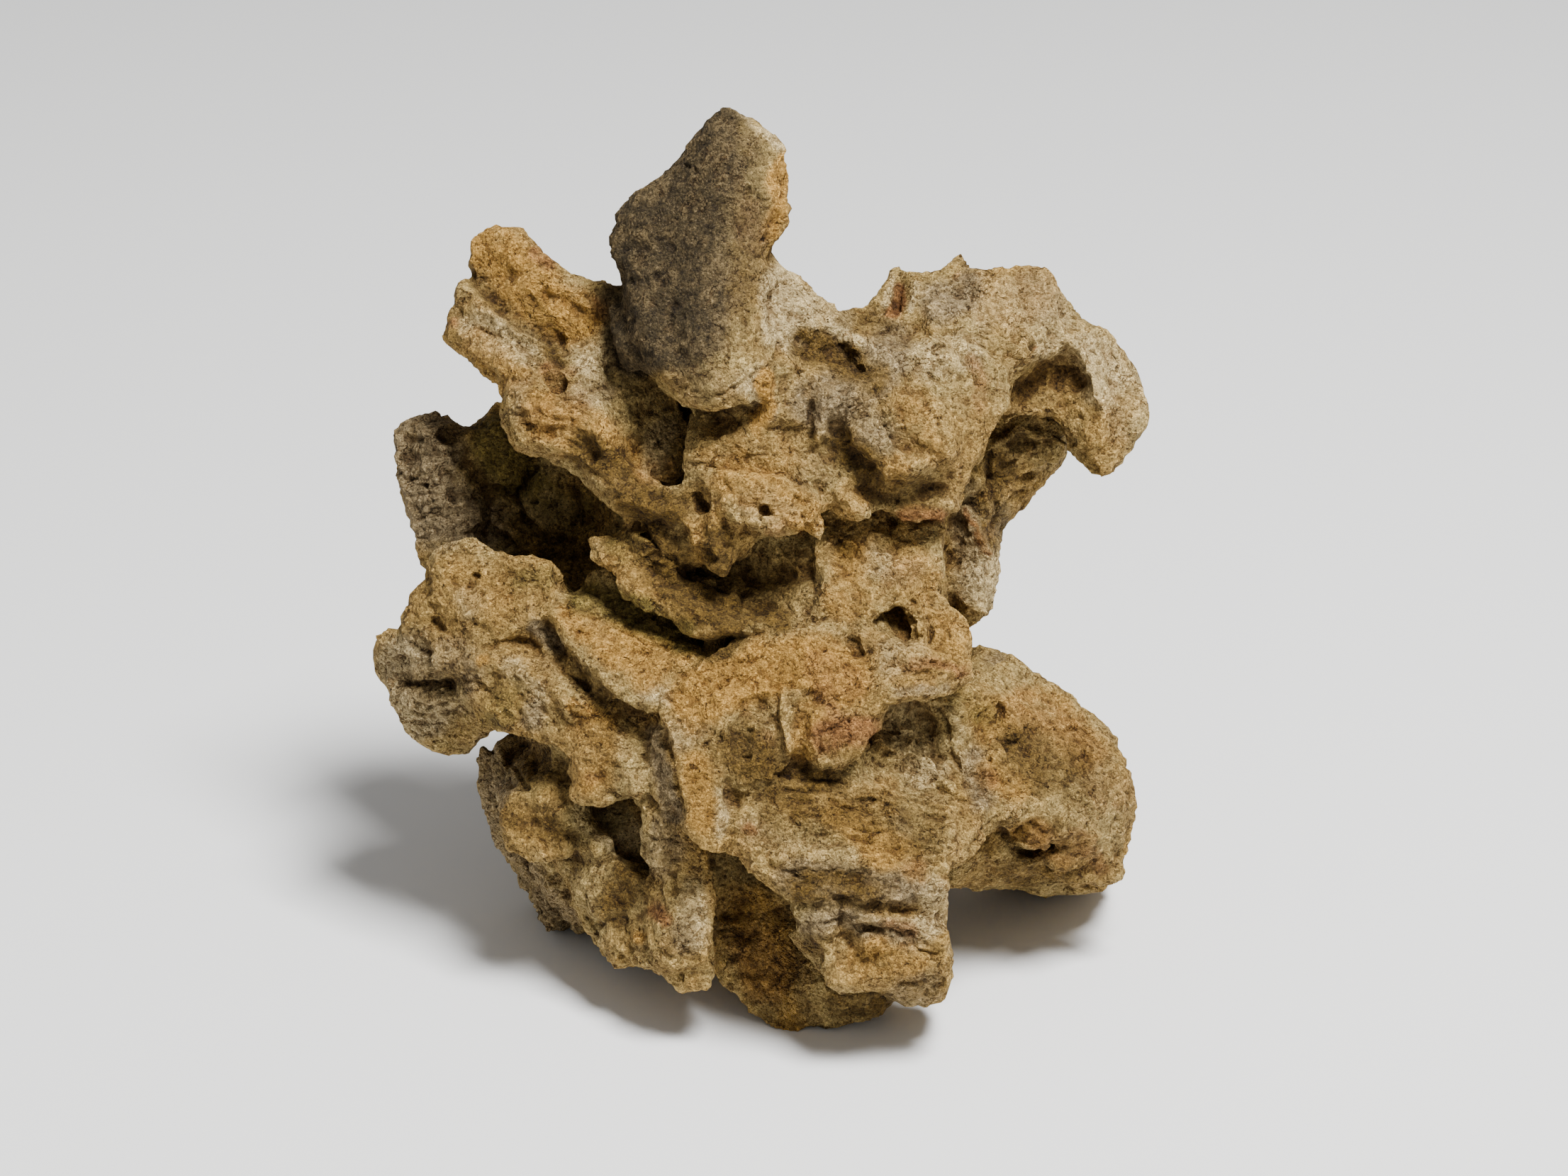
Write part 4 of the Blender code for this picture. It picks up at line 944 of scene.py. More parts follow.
def stones_of_slab(rubble):
    """The slab's crumbly lip, calcite ridges, curled ridge, nodules, pocket rim and grey front."""
    each(rubble.face,
        (2.0, (2, -52, 33), (26, -53, 25), (46, -60, 27), (46, -70, 35), (30, -70, 39), (6, -70, 40),
         (-3, -60, 37)),
        (2.0, (56, -46, 6), (61, -40, -4), (65, -35, -11), (80, -39, -14), (90, -51, -8), (84, -59, 1),
         (60, -59, 13)),
        (2.0, (28, -38, 12), (40, -37, 6), (45, -46, 1), (48, -53, 11), (40, -54, 17), (26, -52, 22)),
        (2.0, (6, -72, 41), (44, -73, 38), (44, -84, 37), (20, -84, 40), (9, -82, 39)))
    rubble.block(
        (-4, -58, 34, 1.2), (-8, -66, 34, 1.0), (-5, -69, 36, 1.0), (4, -70, 38, 1.6), (6, -60, 35, 2.0))
    each(rubble.spur,
        ((-7.4, -66, 35, 1.2), (-6.6, -68.8, 36, 0.9)),
        ((-3, -62, 35, 1.6), (-1.4, -66.6, 37, 1.6), (-3, -70, 38, 1.1)),
        ((-1, -70, 38, 1.4), (0, -74, 38.4, 1.0), (2.6, -73, 39, 1.1)))
    each(rubble.block,
        ((3.6, -71, 39, 1.3), (6, -79, 38, 1.0), (12, -81, 38, 0.9), (20, -79.6, 40, 1.2),
         (20, -70, 40, 1.6)),
        ((20, -70, 40, 1.6), (40, -74, 38, 1.6), (44, -79, 35, 1.4), (24, -81, 40, 1.2)))
    each(rubble.spur,
        ((30.6, -49.4, 16, 0.8), (34.6, -44.2, 14, 0.9), (37, -44.4, 13, 0.9), (41, -48.6, 13, 0.9),
         (45, -52.6, 15, 0.8), (50, -56.6, 18, 0.8)), ((28, -42.6, 16, 0.8), (34, -44.2, 14, 0.8)),
        ((33, -34, 17, 1.2), (31.4, -37, 17, 1.1), (34, -39.6, 15, 1.2), (38, -40, 13, 1.0)),
        ((35.6, -43, 13, 0.8), (37.2, -40.6, 12, 0.7)), ((40, -53.6, 18, 0.7), (47.4, -52.8, 16, 0.7)),
        ((43.6, -38, 8, 1.0), (44.6, -43, 6, 1.0), (46, -48, 7, 0.9)))
    rubble.block((21, -44.6, 22, 1.6), (25, -43.6, 21, 1.6), (26.4, -47, 20, 1.2), (21.6, -48, 21, 1.2))
    each(rubble.spur,
        ((41, -31.4, 10, 1.6), (48, -29.6, 7, 1.5), (54, -29.6, 4, 1.3), (60, -31.4, 1, 1.2),
         (63.6, -34.6, -1, 1.0), (64, -39.6, -2, 0.9)),
        ((42, -32.6, 12, 2.8), (46, -34.6, 12, 2.8), (50, -36.6, 11, 2.8), (49.6, -41, 11, 2.4),
         (48.8, -44.4, 11, 1.9), (49.8, -47.4, 11, 1.2)),
        ((50, -36, 4, 1.6), (54, -39, 3, 1.6), (57, -43, 3, 1.4)))
    each(rubble.block,
        ((54, -28, -6, 1.6), (62, -22, -14, 1.6), (76, -33, -18, 1.6), (86, -43, -14, 1.4),
         (74, -46, -8, 2.0), (60, -36, -6, 1.6)),
        ((56, -50, 10, 2.0), (72, -50, 3, 2.0), (89, -50, -7, 1.2), (88, -58, -4, 1.2), (70, -58, 6, 1.6),
         (58, -60, 12, 1.6)),
        ((62, -58.6, 9, 1.2), (74, -58, 5, 1.2), (80, -61, 4, 1.2), (82, -66, 1, 1.0), (76, -68, 1, 1.0),
         (73, -65, 4, 1.0)))
    rubble.slab(1.4, (57, -61, 3), (62, -62, 2), (62, -70, -1), (57, -70, 0))
    each(rubble.spur,
        ((64.4, -65.4, 7, 3.5), (67.6, -65.2, 7, 3.7)), ((72.8, -71.6, 1, 2.2), (75.6, -72, 1, 2.0)),
        ((60, -71, -1, 1.1), (66, -71.8, -1, 1.2), (71, -70, -1, 1.0), (78, -70.4, -3, 1.0),
         (84, -66, -3, 0.9)))
    rubble.slab(1.0, (74, -63, 3), (80, -62.6, 2), (82, -66, 0), (79, -69, -1), (74, -68.6, -1))
    each(rubble.face,
        (1.5, (60, -69, -3), (72, -68, -5), (80, -69, -7), (74, -74, -9), (60, -74, -8)),
        (1.5, (49, -46, 7), (56, -46, 7), (57, -56, 11), (50, -56, 13)))
    each(rubble.slab,
        (1.6, (50, -31, 8), (60, -32, 3), (62, -40, 3), (51, -42, 8)),
        (1.4, (50, -41, 9), (58, -41, 6), (59, -48, 8), (50, -49, 11)),
        (1.4, (44, -37, 7), (48, -38, 9), (49, -48, 10), (44, -48, 8)))
    each(rubble.face,
        (2.0, (2, -50, 31), (20, -49, 28), (27, -49, 21), (27, -54, 25), (2, -54, 33)),
        (2.0, (29, -30, 16), (43, -29, 7), (45, -36, 3), (36, -40, 9), (28, -38, 13)))
    each(rubble.block,
        ((80, -66, 0, 1.2), (89, -64, -6, 1.2), (88, -75, -12, 1.2), (82, -76, -12, 1.4),
         (72, -74, -6, 1.4)),
        ((91, -56, -12, 1.2), (91.6, -62, -14, 1.0), (89.6, -70, -16, 1.0), (88, -60, -8, 1.4)))


def stones_of_leg(rubble):
    """The leg's layered grey front, the small lobe, the knob's top strip and the pieces behind."""
    rubble.face(2.0, (18, -88, 35), (44, -90, 37), (45, -98, 35), (18, -100, 35))
    each(rubble.block,
        ((8, -83, 33, 1.4), (18, -84, 35, 1.4), (17, -93, 30, 1.2), (10, -89, 29, 1.2)),
        ((8.6, -90, 27, 1.2), (9.6, -93, 27, 1.0), (15.4, -95, 27, 0.9), (17, -91, 29, 1.4),
         (13, -88, 28, 1.4)))
    rubble.spur((25, -85.4, 39, 1.0), (31, -86, 39, 1.1), (38, -88.4, 38, 1.0), (43, -91, 36, 0.9))
    each(rubble.block,
        ((25, -91.6, 38, 1.4), (29, -90.4, 38.6, 1.2), (31.6, -93, 38, 1.2), (27, -95, 37, 1.2)),
        ((17, -96, 35, 1.4), (16.6, -101.6, 34, 0.9), (27, -102.4, 34, 0.9), (29, -97, 36, 1.6)),
        ((30, -92, 37, 1.6), (44, -92, 35, 1.6), (46, -98, 33, 1.2), (42, -100.4, 33, 0.9),
         (32, -100.6, 35, 0.9), (29, -97, 36, 1.2)),
        ((30, -101.6, 29, 1.2), (34, -105.4, 28, 1.0), (44, -106, 26, 1.0), (45.4, -100, 27, 1.2),
         (36, -98, 29, 1.6)),
        ((16, -103, 12, 1.6), (32, -104, 12, 1.4), (31, -108.4, 9, 1.2), (24, -111, 8, 1.0),
         (14, -111, 8, 1.4)))
    each(rubble.spur,
        ((22, -83.4, 40.4, 1.5), (24, -84, 40.4, 1.3)),
        ((3, -112, 6, 1.6), (8, -113.6, 6, 1.2), (13, -111, 7, 1.4)))


def stones_of_lower_left(rubble):
    """The grey wall's folds, the lower left bulges, the pillar's lumps and its round foot."""
    each(rubble.spur,
        ((-68.6, -44, -22, 1.3), (-69, -52, -22, 1.4), (-66.6, -60, -22, 1.4), (-64, -68, -24, 1.4)),
        ((-65, -43, -18, 1.1), (-63, -50, -14, 1.1), (-62, -57, -8, 1.0)),
        ((-62, -71, -22, 1.4), (-57, -77, -24, 1.3), (-55, -84, -26, 1.3), (-52, -88.6, -26, 1.2)),
        ((-57, -74, -14, 1.1), (-52, -80, -16, 1.1), (-49, -85, -18, 1.0), (-46, -89, -18, 0.9)),
        ((-50, -73, -4, 1.2), (-48, -78, -2, 1.2), (-44, -83, 2, 1.1), (-41, -87, 4, 1.0)))
    rubble.block(
        (-63, -61, 8, 1.4), (-62, -67, 7, 1.4), (-56, -70.4, 8, 1.2), (-48, -69.4, 10, 1.4),
        (-50, -60, 11, 2.0), (-60, -56, 8, 1.6))
    rubble.spur((-42, -67, 11, 1.6), (-40, -70.6, 11.4, 1.3), (-38.4, -67, 11, 1.3))
    rubble.block(
        (-43, -76, 8, 1.6), (-40, -83, 10, 1.6), (-31, -86, 14, 1.4), (-29, -78, 13, 1.6),
        (-36, -72.6, 11, 1.4))
    each(rubble.spur,
        ((-38, -87, 12, 1.5), (-36, -91, 12.6, 1.5), (-33, -95.6, 14, 1.2)),
        ((-32, -86.6, 15, 1.4), (-31, -91, 16.6, 1.4), (-29, -95, 18, 1.2)))
    each(rubble.block,
        ((-28, -58, 21, 1.6), (-26, -71, 24, 1.2), (-16.6, -73, 28, 1.2), (-14, -70.6, 28, 1.0),
         (-20, -62, 27, 1.6)),
        ((-24.6, -74, 24, 1.2), (-22, -84, 26, 1.2), (-14, -84, 27, 1.0), (-13.6, -74, 27, 1.0)),
        ((-27, -82, 20, 1.0), (-25, -88, 23, 1.4), (-22, -97, 24, 1.4), (-14, -96, 26, 1.0),
         (-13.6, -84, 26, 1.0), (-20, -83, 26, 1.2)))
    rubble.spur((-28, -82.6, 20, 1.1), (-25.4, -85.6, 23, 1.0), (-22, -84.6, 24.6, 0.9))
    rubble.block((-21, -99, 21, 1.3), (-20, -103.4, 20, 1.3), (-14, -102.4, 21, 1.4), (-13, -98, 23, 1.2))
    rubble.spur((-27, -75.6, 16, 1.1), (-26.4, -78, 17, 1.0))


STONES = (
    stones_of_horn, stones_of_left_arm, stones_of_collar, stones_of_lobe, stones_of_plate,
    stones_of_neck, stones_of_left_back, stones_of_lower_left_arm, stones_of_bridge,
    stones_of_slab, stones_of_leg, stones_of_lower_left,
)


# Ridges, valleys, cracks and pits of each form


def relief_of_edges(relief):
    """The rock's outline, where the relief fades out, and a wide frame round it."""
    far = 120
    each(relief.line,
        (0, (-far, -far), (far, -far), (far, far), (-far, far), (-far, -far)),
        (0, (-9, 116), (-20, 104), (-34, 92), (-39, 80), (-36, 71), (-48, 73.5), (-58, 84), (-71, 86),
         (-74, 72), (-79, 58), (-67, 45), (-68, 38), (-77, 39.5), (-91, 39), (-92, 28), (-86, 8), (-84, 0)),
        (0, (-86, -7), (-97, -16), (-92, -30), (-85, -44), (-74, -47), (-69, -42), (-71, -50), (-67, -68),
         (-56, -86), (-42, -92.5), (-34, -100), (-19, -106), (-8, -103), (2, -110), (8, -116), (30, -112),
         (46, -108), (48.5, -91), (47, -80), (62, -80), (78, -81), (91, -76), (94, -56), (86, -40),
         (70, -27), (60, -18), (52, -17)),
        (0, (57, -11), (58, 4), (64, 14), (70, 26), (80, 24), (85, 21.5), (90, 30), (97, 37), (91, 52),
         (76, 65), (68, 76), (50, 79), (33, 75), (27, 66), (16, 63), (7, 69), (2, 80), (8, 90), (6, 104),
         (-3, 112)))


def relief_of_horn(relief):
    """The horn's flat facets, its low flank and the rim that overhangs the bowl."""
    each(relief.line,
        (1.6, (-10, 111), (-13, 104), (-15.5, 92), (-15, 78), (-17, 66), (-16, 54), (-14, 44.5)),
        (1.2, (-31, 88), (-30, 78), (-29.5, 68), (-27, 57), (-23.5, 49)),
        (-0.4, (-22, 98), (-24, 84), (-22.5, 72), (-21.5, 60), (-19, 50)),
        (-1.0, (-34.5, 74), (-33, 66), (-32, 58), (-29, 51)),
        (1.0, (3, 102), (1.6, 93), (0, 84), (-2.2, 74), (-3, 63), (-3.6, 50)),
        (-1.8, (5.6, 98), (4.4, 92), (3.6, 86), (1.6, 80)),
        (0.6, (-24.6, 47.6), (-20.4, 42.6), (-13, 40.6), (-6, 41), (-2, 44.6)),
        (-1.8, (-25, 44), (-20, 39), (-13, 38), (-6, 38.2), (-2.6, 40.4)), (1.0, (-4.4, 108.6), (-5.8, 105)),
        (0.9, (-15, 35), (-12.4, 31), (-13.6, 25)), (1.6, (1.4, 47), (1.8, 42), (0.4, 37.6), (-2, 34.6)),
        (-1.2, (5, 47), (5.6, 42), (4, 36), (0, 32.6)))


def relief_of_left_arm(relief):
    """The arm's slanting folds, the notch above the shoulder and the shoulder's brow and lip."""
    each(relief.line,
        (1.2, (-66, 83.4), (-60, 80.6), (-56, 75.6), (-50, 71.6), (-44, 69.2), (-38, 67.6)),
        (-0.4, (-69.6, 80), (-66, 76), (-61.6, 73.6)),
        (-2.4, (-71, 75), (-67, 69), (-61, 63.4), (-55, 59.4), (-51, 54.6), (-50, 50)),
        (1.6, (-74.4, 70), (-69, 65), (-63, 60.6), (-57, 57.6), (-54, 55.4)),
        (-0.6, (-74, 64), (-68, 59.4), (-61, 54.4)), (1.0, (-76, 59.4), (-70, 55), (-64, 50.4), (-61.4, 46)),
        (0.9, (-62, 69.6), (-56, 66), (-49, 62), (-43, 58.6), (-38.6, 55)),
        (-0.5, (-50, 67.6), (-44, 63.4), (-38.4, 61.6)), (-2.4, (-52.6, 49), (-50.4, 46.4), (-49.4, 44.6)),
        (0.9, (-57, 46), (-54, 43.6)), (0.8, (-46, 47), (-41, 46.6), (-37, 44)),
        (1.8, (-61, 42), (-55, 40.4), (-48, 38.6), (-42, 35), (-37, 30), (-32.4, 24)),
        (-0.7, (-58, 36.4), (-52, 34.6), (-46, 32.4), (-41.4, 28.6)),
        (1.3, (-61, 33.6), (-57.6, 31.6), (-50, 31.2), (-44, 28.6), (-40, 23.8), (-36.6, 19.4)),
        (-0.8, (-34, 38), (-33, 33), (-33.6, 28)))


def relief_of_collar(relief):
    """The ridges round the bowl, the dark pockets under them and the hanging spur."""
    each(relief.line,
        (1.4, (-33.6, 25), (-30, 21.8), (-26, 20.6), (-22, 22), (-19, 25.4)),
        (-1.0, (-27, 18.4), (-22, 18.8), (-19, 21)),
        (1.6, (-34, 18.4), (-28, 16.6), (-22, 14.8), (-18, 12.6), (-16, 8)),
        (-2.6, (-30, 13.6), (-25, 10.4), (-21.6, 6.4), (-18, 3.4)),
        (-1.6, (-16.6, 19.6), (-15, 17), (-14.6, 14.4)),
        (1.6, (-12.6, 22), (-12.4, 14), (-11.6, 7), (-10.2, 0)), (-1.6, (-8.6, 10), (-6, 6), (-4.6, 2)),
        (-1.0, (-14.6, 10.4), (-13.6, 5.6)))


def relief_of_snout(relief):
    """The blunt snout: a dished face, a full lower lip, and a flange that turns under."""
    each(relief.line,
        (1.2, (-10.4, 25), (-8.6, 19.6), (-6.6, 15.4), (-3.4, 12.4)),
        (1.3, (-1, 11.6), (4, 11.2), (9, 11.8), (12.6, 14)),
        (-1.6, (-3.4, 10.2), (1, 8.6), (6, 8.4), (10.4, 9.8)), (-0.9, (-2.6, 16.8), (3, 15.6), (8.4, 15)),
        (1.0, (-6, 22.6), (0, 20.6), (6, 18.6), (12, 17.6), (15, 15.6)),
        (-1.4, (-1, 26), (6, 24), (12, 21.6)), (0.8, (4, 29), (10, 27), (14, 23.6)),
        (-2.0, (15.6, 19), (16, 15.6)))


def relief_of_lobe(relief):
    """The right lobe: pale ridge, horseshoe, knob, dents, overhang and the grey saddle."""
    each(relief.line,
        (2.4, (9, 66), (12, 62), (15, 60)), (-1.4, (8.4, 57.6), (12, 55), (16, 54), (20, 52.6)),
        (1.8, (17, 61.6), (20, 58.6), (24, 55.4), (28, 53), (32, 50.6)),
        (0.8, (3, 73), (4.6, 65), (4.6, 58), (5.4, 52)), (-1.2, (8.6, 49), (10, 43), (11, 37), (12.4, 31)),
        (0.8, (16, 49.4), (21, 48), (26, 47.6)),
        (2.0, (28, 44.4), (22, 43.4), (17.6, 40.4), (15, 36), (14.2, 32.4)),
        (2.0, (29.6, 43), (25, 38.6), (23.6, 33), (26.4, 28.6), (31, 25.6), (35, 25)),
        (-3.2, (19.4, 37.4), (18.6, 34), (20.2, 31), (23, 27.4), (26.6, 24.6)),
        (-1.8, (15, 29.6), (18.6, 28.4)), (-2.0, (31.6, 35.6), (34.4, 33), (36.4, 30)),
        (1.2, (33.6, 43), (39.4, 41), (44, 36.6), (45, 30)),
        (-0.9, (44, 46), (49, 41.6), (51, 35), (49.4, 28)),
        (1.2, (57.8, 38.6), (53.6, 33), (50, 26), (47, 19)),
        (-2.2, (26, 21), (31, 19.4), (37, 18.6), (43, 20)), (1.4, (34.6, 15.2), (39, 14.2), (44.4, 15.4)),
        (1.4, (18.8, 18.4), (21.4, 16.4), (25, 15.8)), (-2.4, (28.4, 18), (30.6, 16.2), (32, 14.8)),
        (1.8, (31.8, 71.4), (30.4, 67), (31.6, 62.6)), (-2.6, (34.4, 70.4), (34, 67), (33.4, 64.4)),
        (1.8, (37.4, 71), (38.2, 67), (35.8, 62.8)), (-2.2, (26.6, 63), (30, 60), (34, 59), (38.6, 60.6)),
        (0.9, (35, 54.6), (42, 56.6), (50, 55.4), (56, 52.4)), (-1.2, (43, 68), (48, 69.4), (52, 66.6)),
        (1.4, (48.6, 75.6), (46, 72.6), (42.6, 69.6), (41, 65.6)),
        (1.0, (56, 72.6), (57.4, 68), (60, 63), (58.4, 57.6)), (-0.9, (66, 71), (64.6, 66), (66, 61)),
        (0.9, (71, 70), (71.4, 64), (73, 59)), (-0.9, (38, 50), (44, 48.6), (50, 47.4)),
        (0.9, (60, 43), (62.6, 48), (67, 52), (72, 55.4)))


def relief_of_right_arm(relief):
    """The arm's hollow underside behind a sharp ridge, and its smooth outer cheek."""
    each(relief.line,
        (-3.0, (64.6, 44), (69, 47), (74.6, 51), (77, 46), (79, 41)),
        (1.8, (75, 57), (78.6, 53), (81, 48), (84, 42), (85, 34), (84.4, 27)),
        (-0.7, (86, 56), (87, 48), (88.4, 40), (87.4, 33)),
        (0.8, (61.6, 38.4), (66, 40), (71, 40.6), (75.4, 37), (79.4, 32), (82, 26)),
        (0.8, (92, 48), (93.4, 41), (91.4, 34)))


def relief_of_right_back(relief):
    """Flowstone folds on the column behind the neck."""
    each(relief.line,
        (1.0, (50.6, 15), (53, 10), (55.6, 5)), (-1.6, (47.4, 12), (49, 6), (49.4, 1), (47.6, -4)),
        (-1.2, (58, 24), (57, 17), (57.6, 10)), (1.2, (61, 17.6), (63.4, 20.4), (66.6, 22.6)),
        (1.2, (60, 30), (64.6, 28.6), (69, 26)), (-1.8, (62, 34), (67, 33.6), (71.6, 34)),
        (1.2, (52.6, 1), (52, -4), (53.6, -9)))


def relief_of_neck(relief):
    """The neck's sharp left edge, shallow folds and the two struts round the window."""
    each(relief.line,
        (1.4, (15.6, 7), (15.4, 1), (17, -4), (17, -9)), (-1.0, (20, 8), (21, 2), (22.6, -4), (23.4, -9)),
        (0.8, (27, 8), (28, 2), (27.4, -4)), (-0.8, (34, 8), (33.4, 3)),
        (1.0, (30.6, 0.4), (36, 1), (40.4, 0)), (-1.0, (31, -3), (36, -3.4)),
        (1.0, (42.4, 9), (42, 3), (41.6, -2), (43, -7), (46, -12), (49, -18), (50.6, -24)))


def relief_of_plate(relief):
    """The ragged plate's rim, the hollow behind it and the folds above."""
    each(relief.line,
        (1.3, (-41.4, 7.6), (-40.4, 3.6), (-34.6, -0.6), (-32, -4), (-26.6, -6.6), (-20, -9.4),
         (-14, -13.6), (-9, -14), (-3, -13.4), (4, -13), (10, -12)),
        (-1.6, (-36, 8), (-31, 3), (-26, -1), (-19, -4.6), (-12, -9), (-4, -10.6), (4, -10.6)),
        (1.0, (-30, 8), (-25, 4), (-21, 0)), (-1.2, (-38.6, 12), (-34, 10), (-31, 11.4)))


def relief_of_left_back(relief):
    """The far left block's flat sides, and the cracks between the smooth calcite fans."""
    each(relief.line,
        (1.2, (-84, 36), (-82, 28), (-79, 20), (-78, 12), (-79, 6)), (-0.9, (-88, 32), (-86, 22), (-83, 12)),
        (-1.2, (-74, 34), (-72.6, 27), (-70.4, 21)),
        (-2.0, (-55, 26), (-60.4, 18.4), (-61, 15), (-57, 10), (-51.6, 8), (-46, 7.4)),
        (1.0, (-66, 34), (-65, 28), (-64, 22.6)), (1.2, (-53, 22), (-52, 16), (-51, 11)),
        (-1.6, (-72, 18), (-66, 19.4), (-62.6, 20)), (1.0, (-70, 14), (-67, 9), (-72, 7)))


def relief_of_lower_left_arm(relief):
    """The long arm: its knobbly end, the crack along it, the pale face and the golden slab."""
    each(relief.line,
        (1.4, (-80, 0), (-76, 4), (-70, 4), (-63, 1.6), (-54, 0.6)),
        (-0.9, (-82, -5), (-76, -3), (-70, -4.6), (-62, -3), (-55, -3.6)),
        (1.0, (-80, -8), (-74, -9), (-68, -10), (-61, -9), (-54, -8.6)),
        (-2.2, (-80.6, -13), (-76.6, -17), (-70, -19), (-62.6, -18), (-55.6, -20), (-50, -24),
         (-43, -29.6), (-36, -33.6)), (1.2, (-78, -22), (-70, -23), (-62, -23.6), (-55, -27), (-48, -32)),
        (1.2, (-84, -18), (-84, -24)), (-2.4, (-88.6, -28), (-83, -28.6), (-77, -28.2)),
        (1.4, (-88, -31), (-82, -32), (-76, -31.4)), (-0.9, (-88, -38), (-81, -38), (-76, -37)),
        (1.2, (-72, -30), (-66, -35), (-60.6, -38.4), (-54, -39)),
        (-0.8, (-66, -27.6), (-60, -31.6), (-53, -34.6), (-47, -38)),
        (1.6, (-51.4, -10.6), (-46.8, -18), (-40.4, -25.4), (-33, -31), (-27, -32.4)),
        (-1.6, (-54, -14), (-49.6, -21), (-43.4, -27.4)), (0.9, (-56.6, -11.6), (-53.6, -17.6)),
        (0.7, (-42, -11.6), (-35, -18), (-28, -24), (-23.4, -28.6)),
        (-1.0, (-40, -36), (-33, -37.4), (-29, -41)), (1.2, (-45, -46), (-43.6, -52), (-40.4, -55.4)),
        (-1.4, (-39.4, -50), (-37.4, -54.6)), (1.0, (-34, -47), (-31.6, -53), (-29.6, -57)))


def relief_of_bridge(relief):
    """The bridge's long top facets, its blocky foot, drip ridge, red block and sharp underside."""
    each(relief.line,
        (1.0, (-22, -32), (-16, -27), (-8, -21), (0, -17.4), (8, -15.6), (16, -13)),
        (-0.8, (-16, -31), (-8, -26.6), (0, -23.6), (3, -21)),
        (1.2, (-22, -36.6), (-14, -33), (-6, -31), (2, -29)),
        (-1.4, (3, -28), (3.6, -34), (4, -40), (3, -46)),
        (1.0, (10, -22), (18, -25), (26, -27), (34, -27), (42, -26), (49, -26.6)),
        (-0.8, (10, -29), (17, -31), (22, -32.4)),
        (1.2, (-22.4, -36), (-20.6, -46), (-20, -56), (-18.4, -64), (-14, -68)),
        (0.8, (-10.6, -36), (-9.6, -46), (-10, -56), (-10.4, -64)),
        (-1.4, (-26, -44), (-24.4, -54), (-21.6, -61)), (-2.0, (-7, -38), (-6.4, -45), (-8, -52), (-7, -57)),
        (1.0, (-2, -38), (-1, -45), (-3, -51)), (1.6, (5, -33), (5.4, -39), (7.2, -44.4)),
        (-1.6, (9, -33), (9.4, -40), (9.4, -46)), (1.8, (15.4, -36), (12.4, -45.4)),
        (1.4, (18.4, -46.6), (23.6, -42), (26.8, -38)), (-0.6, (19, -38.6), (17, -43)),
        (1.0, (29, -35.4), (31, -31.6), (38, -30.6), (47, -29)), (-1.8, (21.4, -17.6), (22.6, -20.4)),
        (1.0, (26, -16), (29, -20), (34, -22)))


def relief_of_slab(relief):
    """The slab: calcite ridges in its hollow, curled ridge, crumbly front lip and broken right end."""
    each(relief.line,
        (1.0, (2, -52), (10, -51.6), (18, -51.6), (26, -53)),
        (-0.7, (0, -57), (10, -57.6), (22, -58.6), (34, -59)),
        (0.8, (8, -63), (20, -63.6), (32, -64.6), (44, -64)), (-0.6, (12, -67.4), (24, -67.4), (36, -69)),
        (1.6, (4, -71.4), (14, -70.6), (26, -71), (38, -73), (45, -72)),
        (-1.2, (6, -75), (16, -75.6), (28, -76.4), (39, -77.4)),
        (0.9, (7, -79), (15, -80.4), (24, -80), (34, -81), (43, -80)),
        (1.4, (-3.4, -60), (-5, -65.6), (-2, -71)), (-1.4, (0.4, -63), (1.4, -69)),
        (1.0, (28, -42.6), (31.6, -44), (35, -43.6), (38.6, -46), (43, -50.4), (48, -54)),
        (-1.0, (29.6, -47.6), (35, -49), (39, -53)),
        (-1.4, (34, -36.6), (38, -37), (41.6, -41), (43.6, -46)),
        (1.8, (43, -32.4), (49, -31), (56, -31), (61.6, -33), (63, -38)),
        (1.8, (43.6, -34.6), (46.4, -39), (47.6, -44.6), (49, -47.4)),
        (-0.6, (52, -34.4), (56.6, -36), (58.4, -40.6)), (-1.4, (50.6, -42), (53, -48), (57, -53)),
        (0.9, (62, -44), (70, -42.6), (78, -43), (84, -46)),
        (-0.8, (62, -50), (70, -48.6), (80, -50), (87, -54)),
        (1.2, (62, -57.6), (70, -57), (78, -59), (84, -62)), (-0.8, (57.4, -62.6), (60.4, -66)),
        (-1.4, (64, -24.6), (72, -33), (80, -38)), (0.8, (56, -24), (62, -30), (70, -37)),
        (-1.4, (56, -74), (62, -76), (68, -77.6)), (1.2, (60, -71), (68, -73), (76, -76), (84, -76)),
        (1.0, (52, -62), (54.6, -68), (50, -74)))


def relief_of_leg(relief):
    """The leg's steps and the knob's strip, face and shelf."""
    each(relief.line,
        (-1.6, (9, -82.6), (16, -82.8), (24, -82.6), (33, -84), (43, -84)),
        (1.6, (24.4, -85.6), (31, -86.2), (38, -88.4), (44, -91)),
        (-1.6, (24, -88.4), (31, -89.4), (37.4, -91.6), (42.6, -94)),
        (1.0, (26, -91.6), (33, -93.6), (40, -97), (45, -97.6)),
        (1.2, (17, -100.8), (24, -101.6), (28.6, -101.4), (31.6, -99.8), (38, -99.6), (44.6, -100)),
        (-1.2, (19, -96.6), (21, -92.6), (19.6, -88)), (-1.8, (27.6, -98.4), (28.6, -94.6)),
        (1.0, (10, -90), (12.6, -94), (16.6, -94.6)), (-1.2, (33, -103), (38.6, -102), (44, -102.6)))


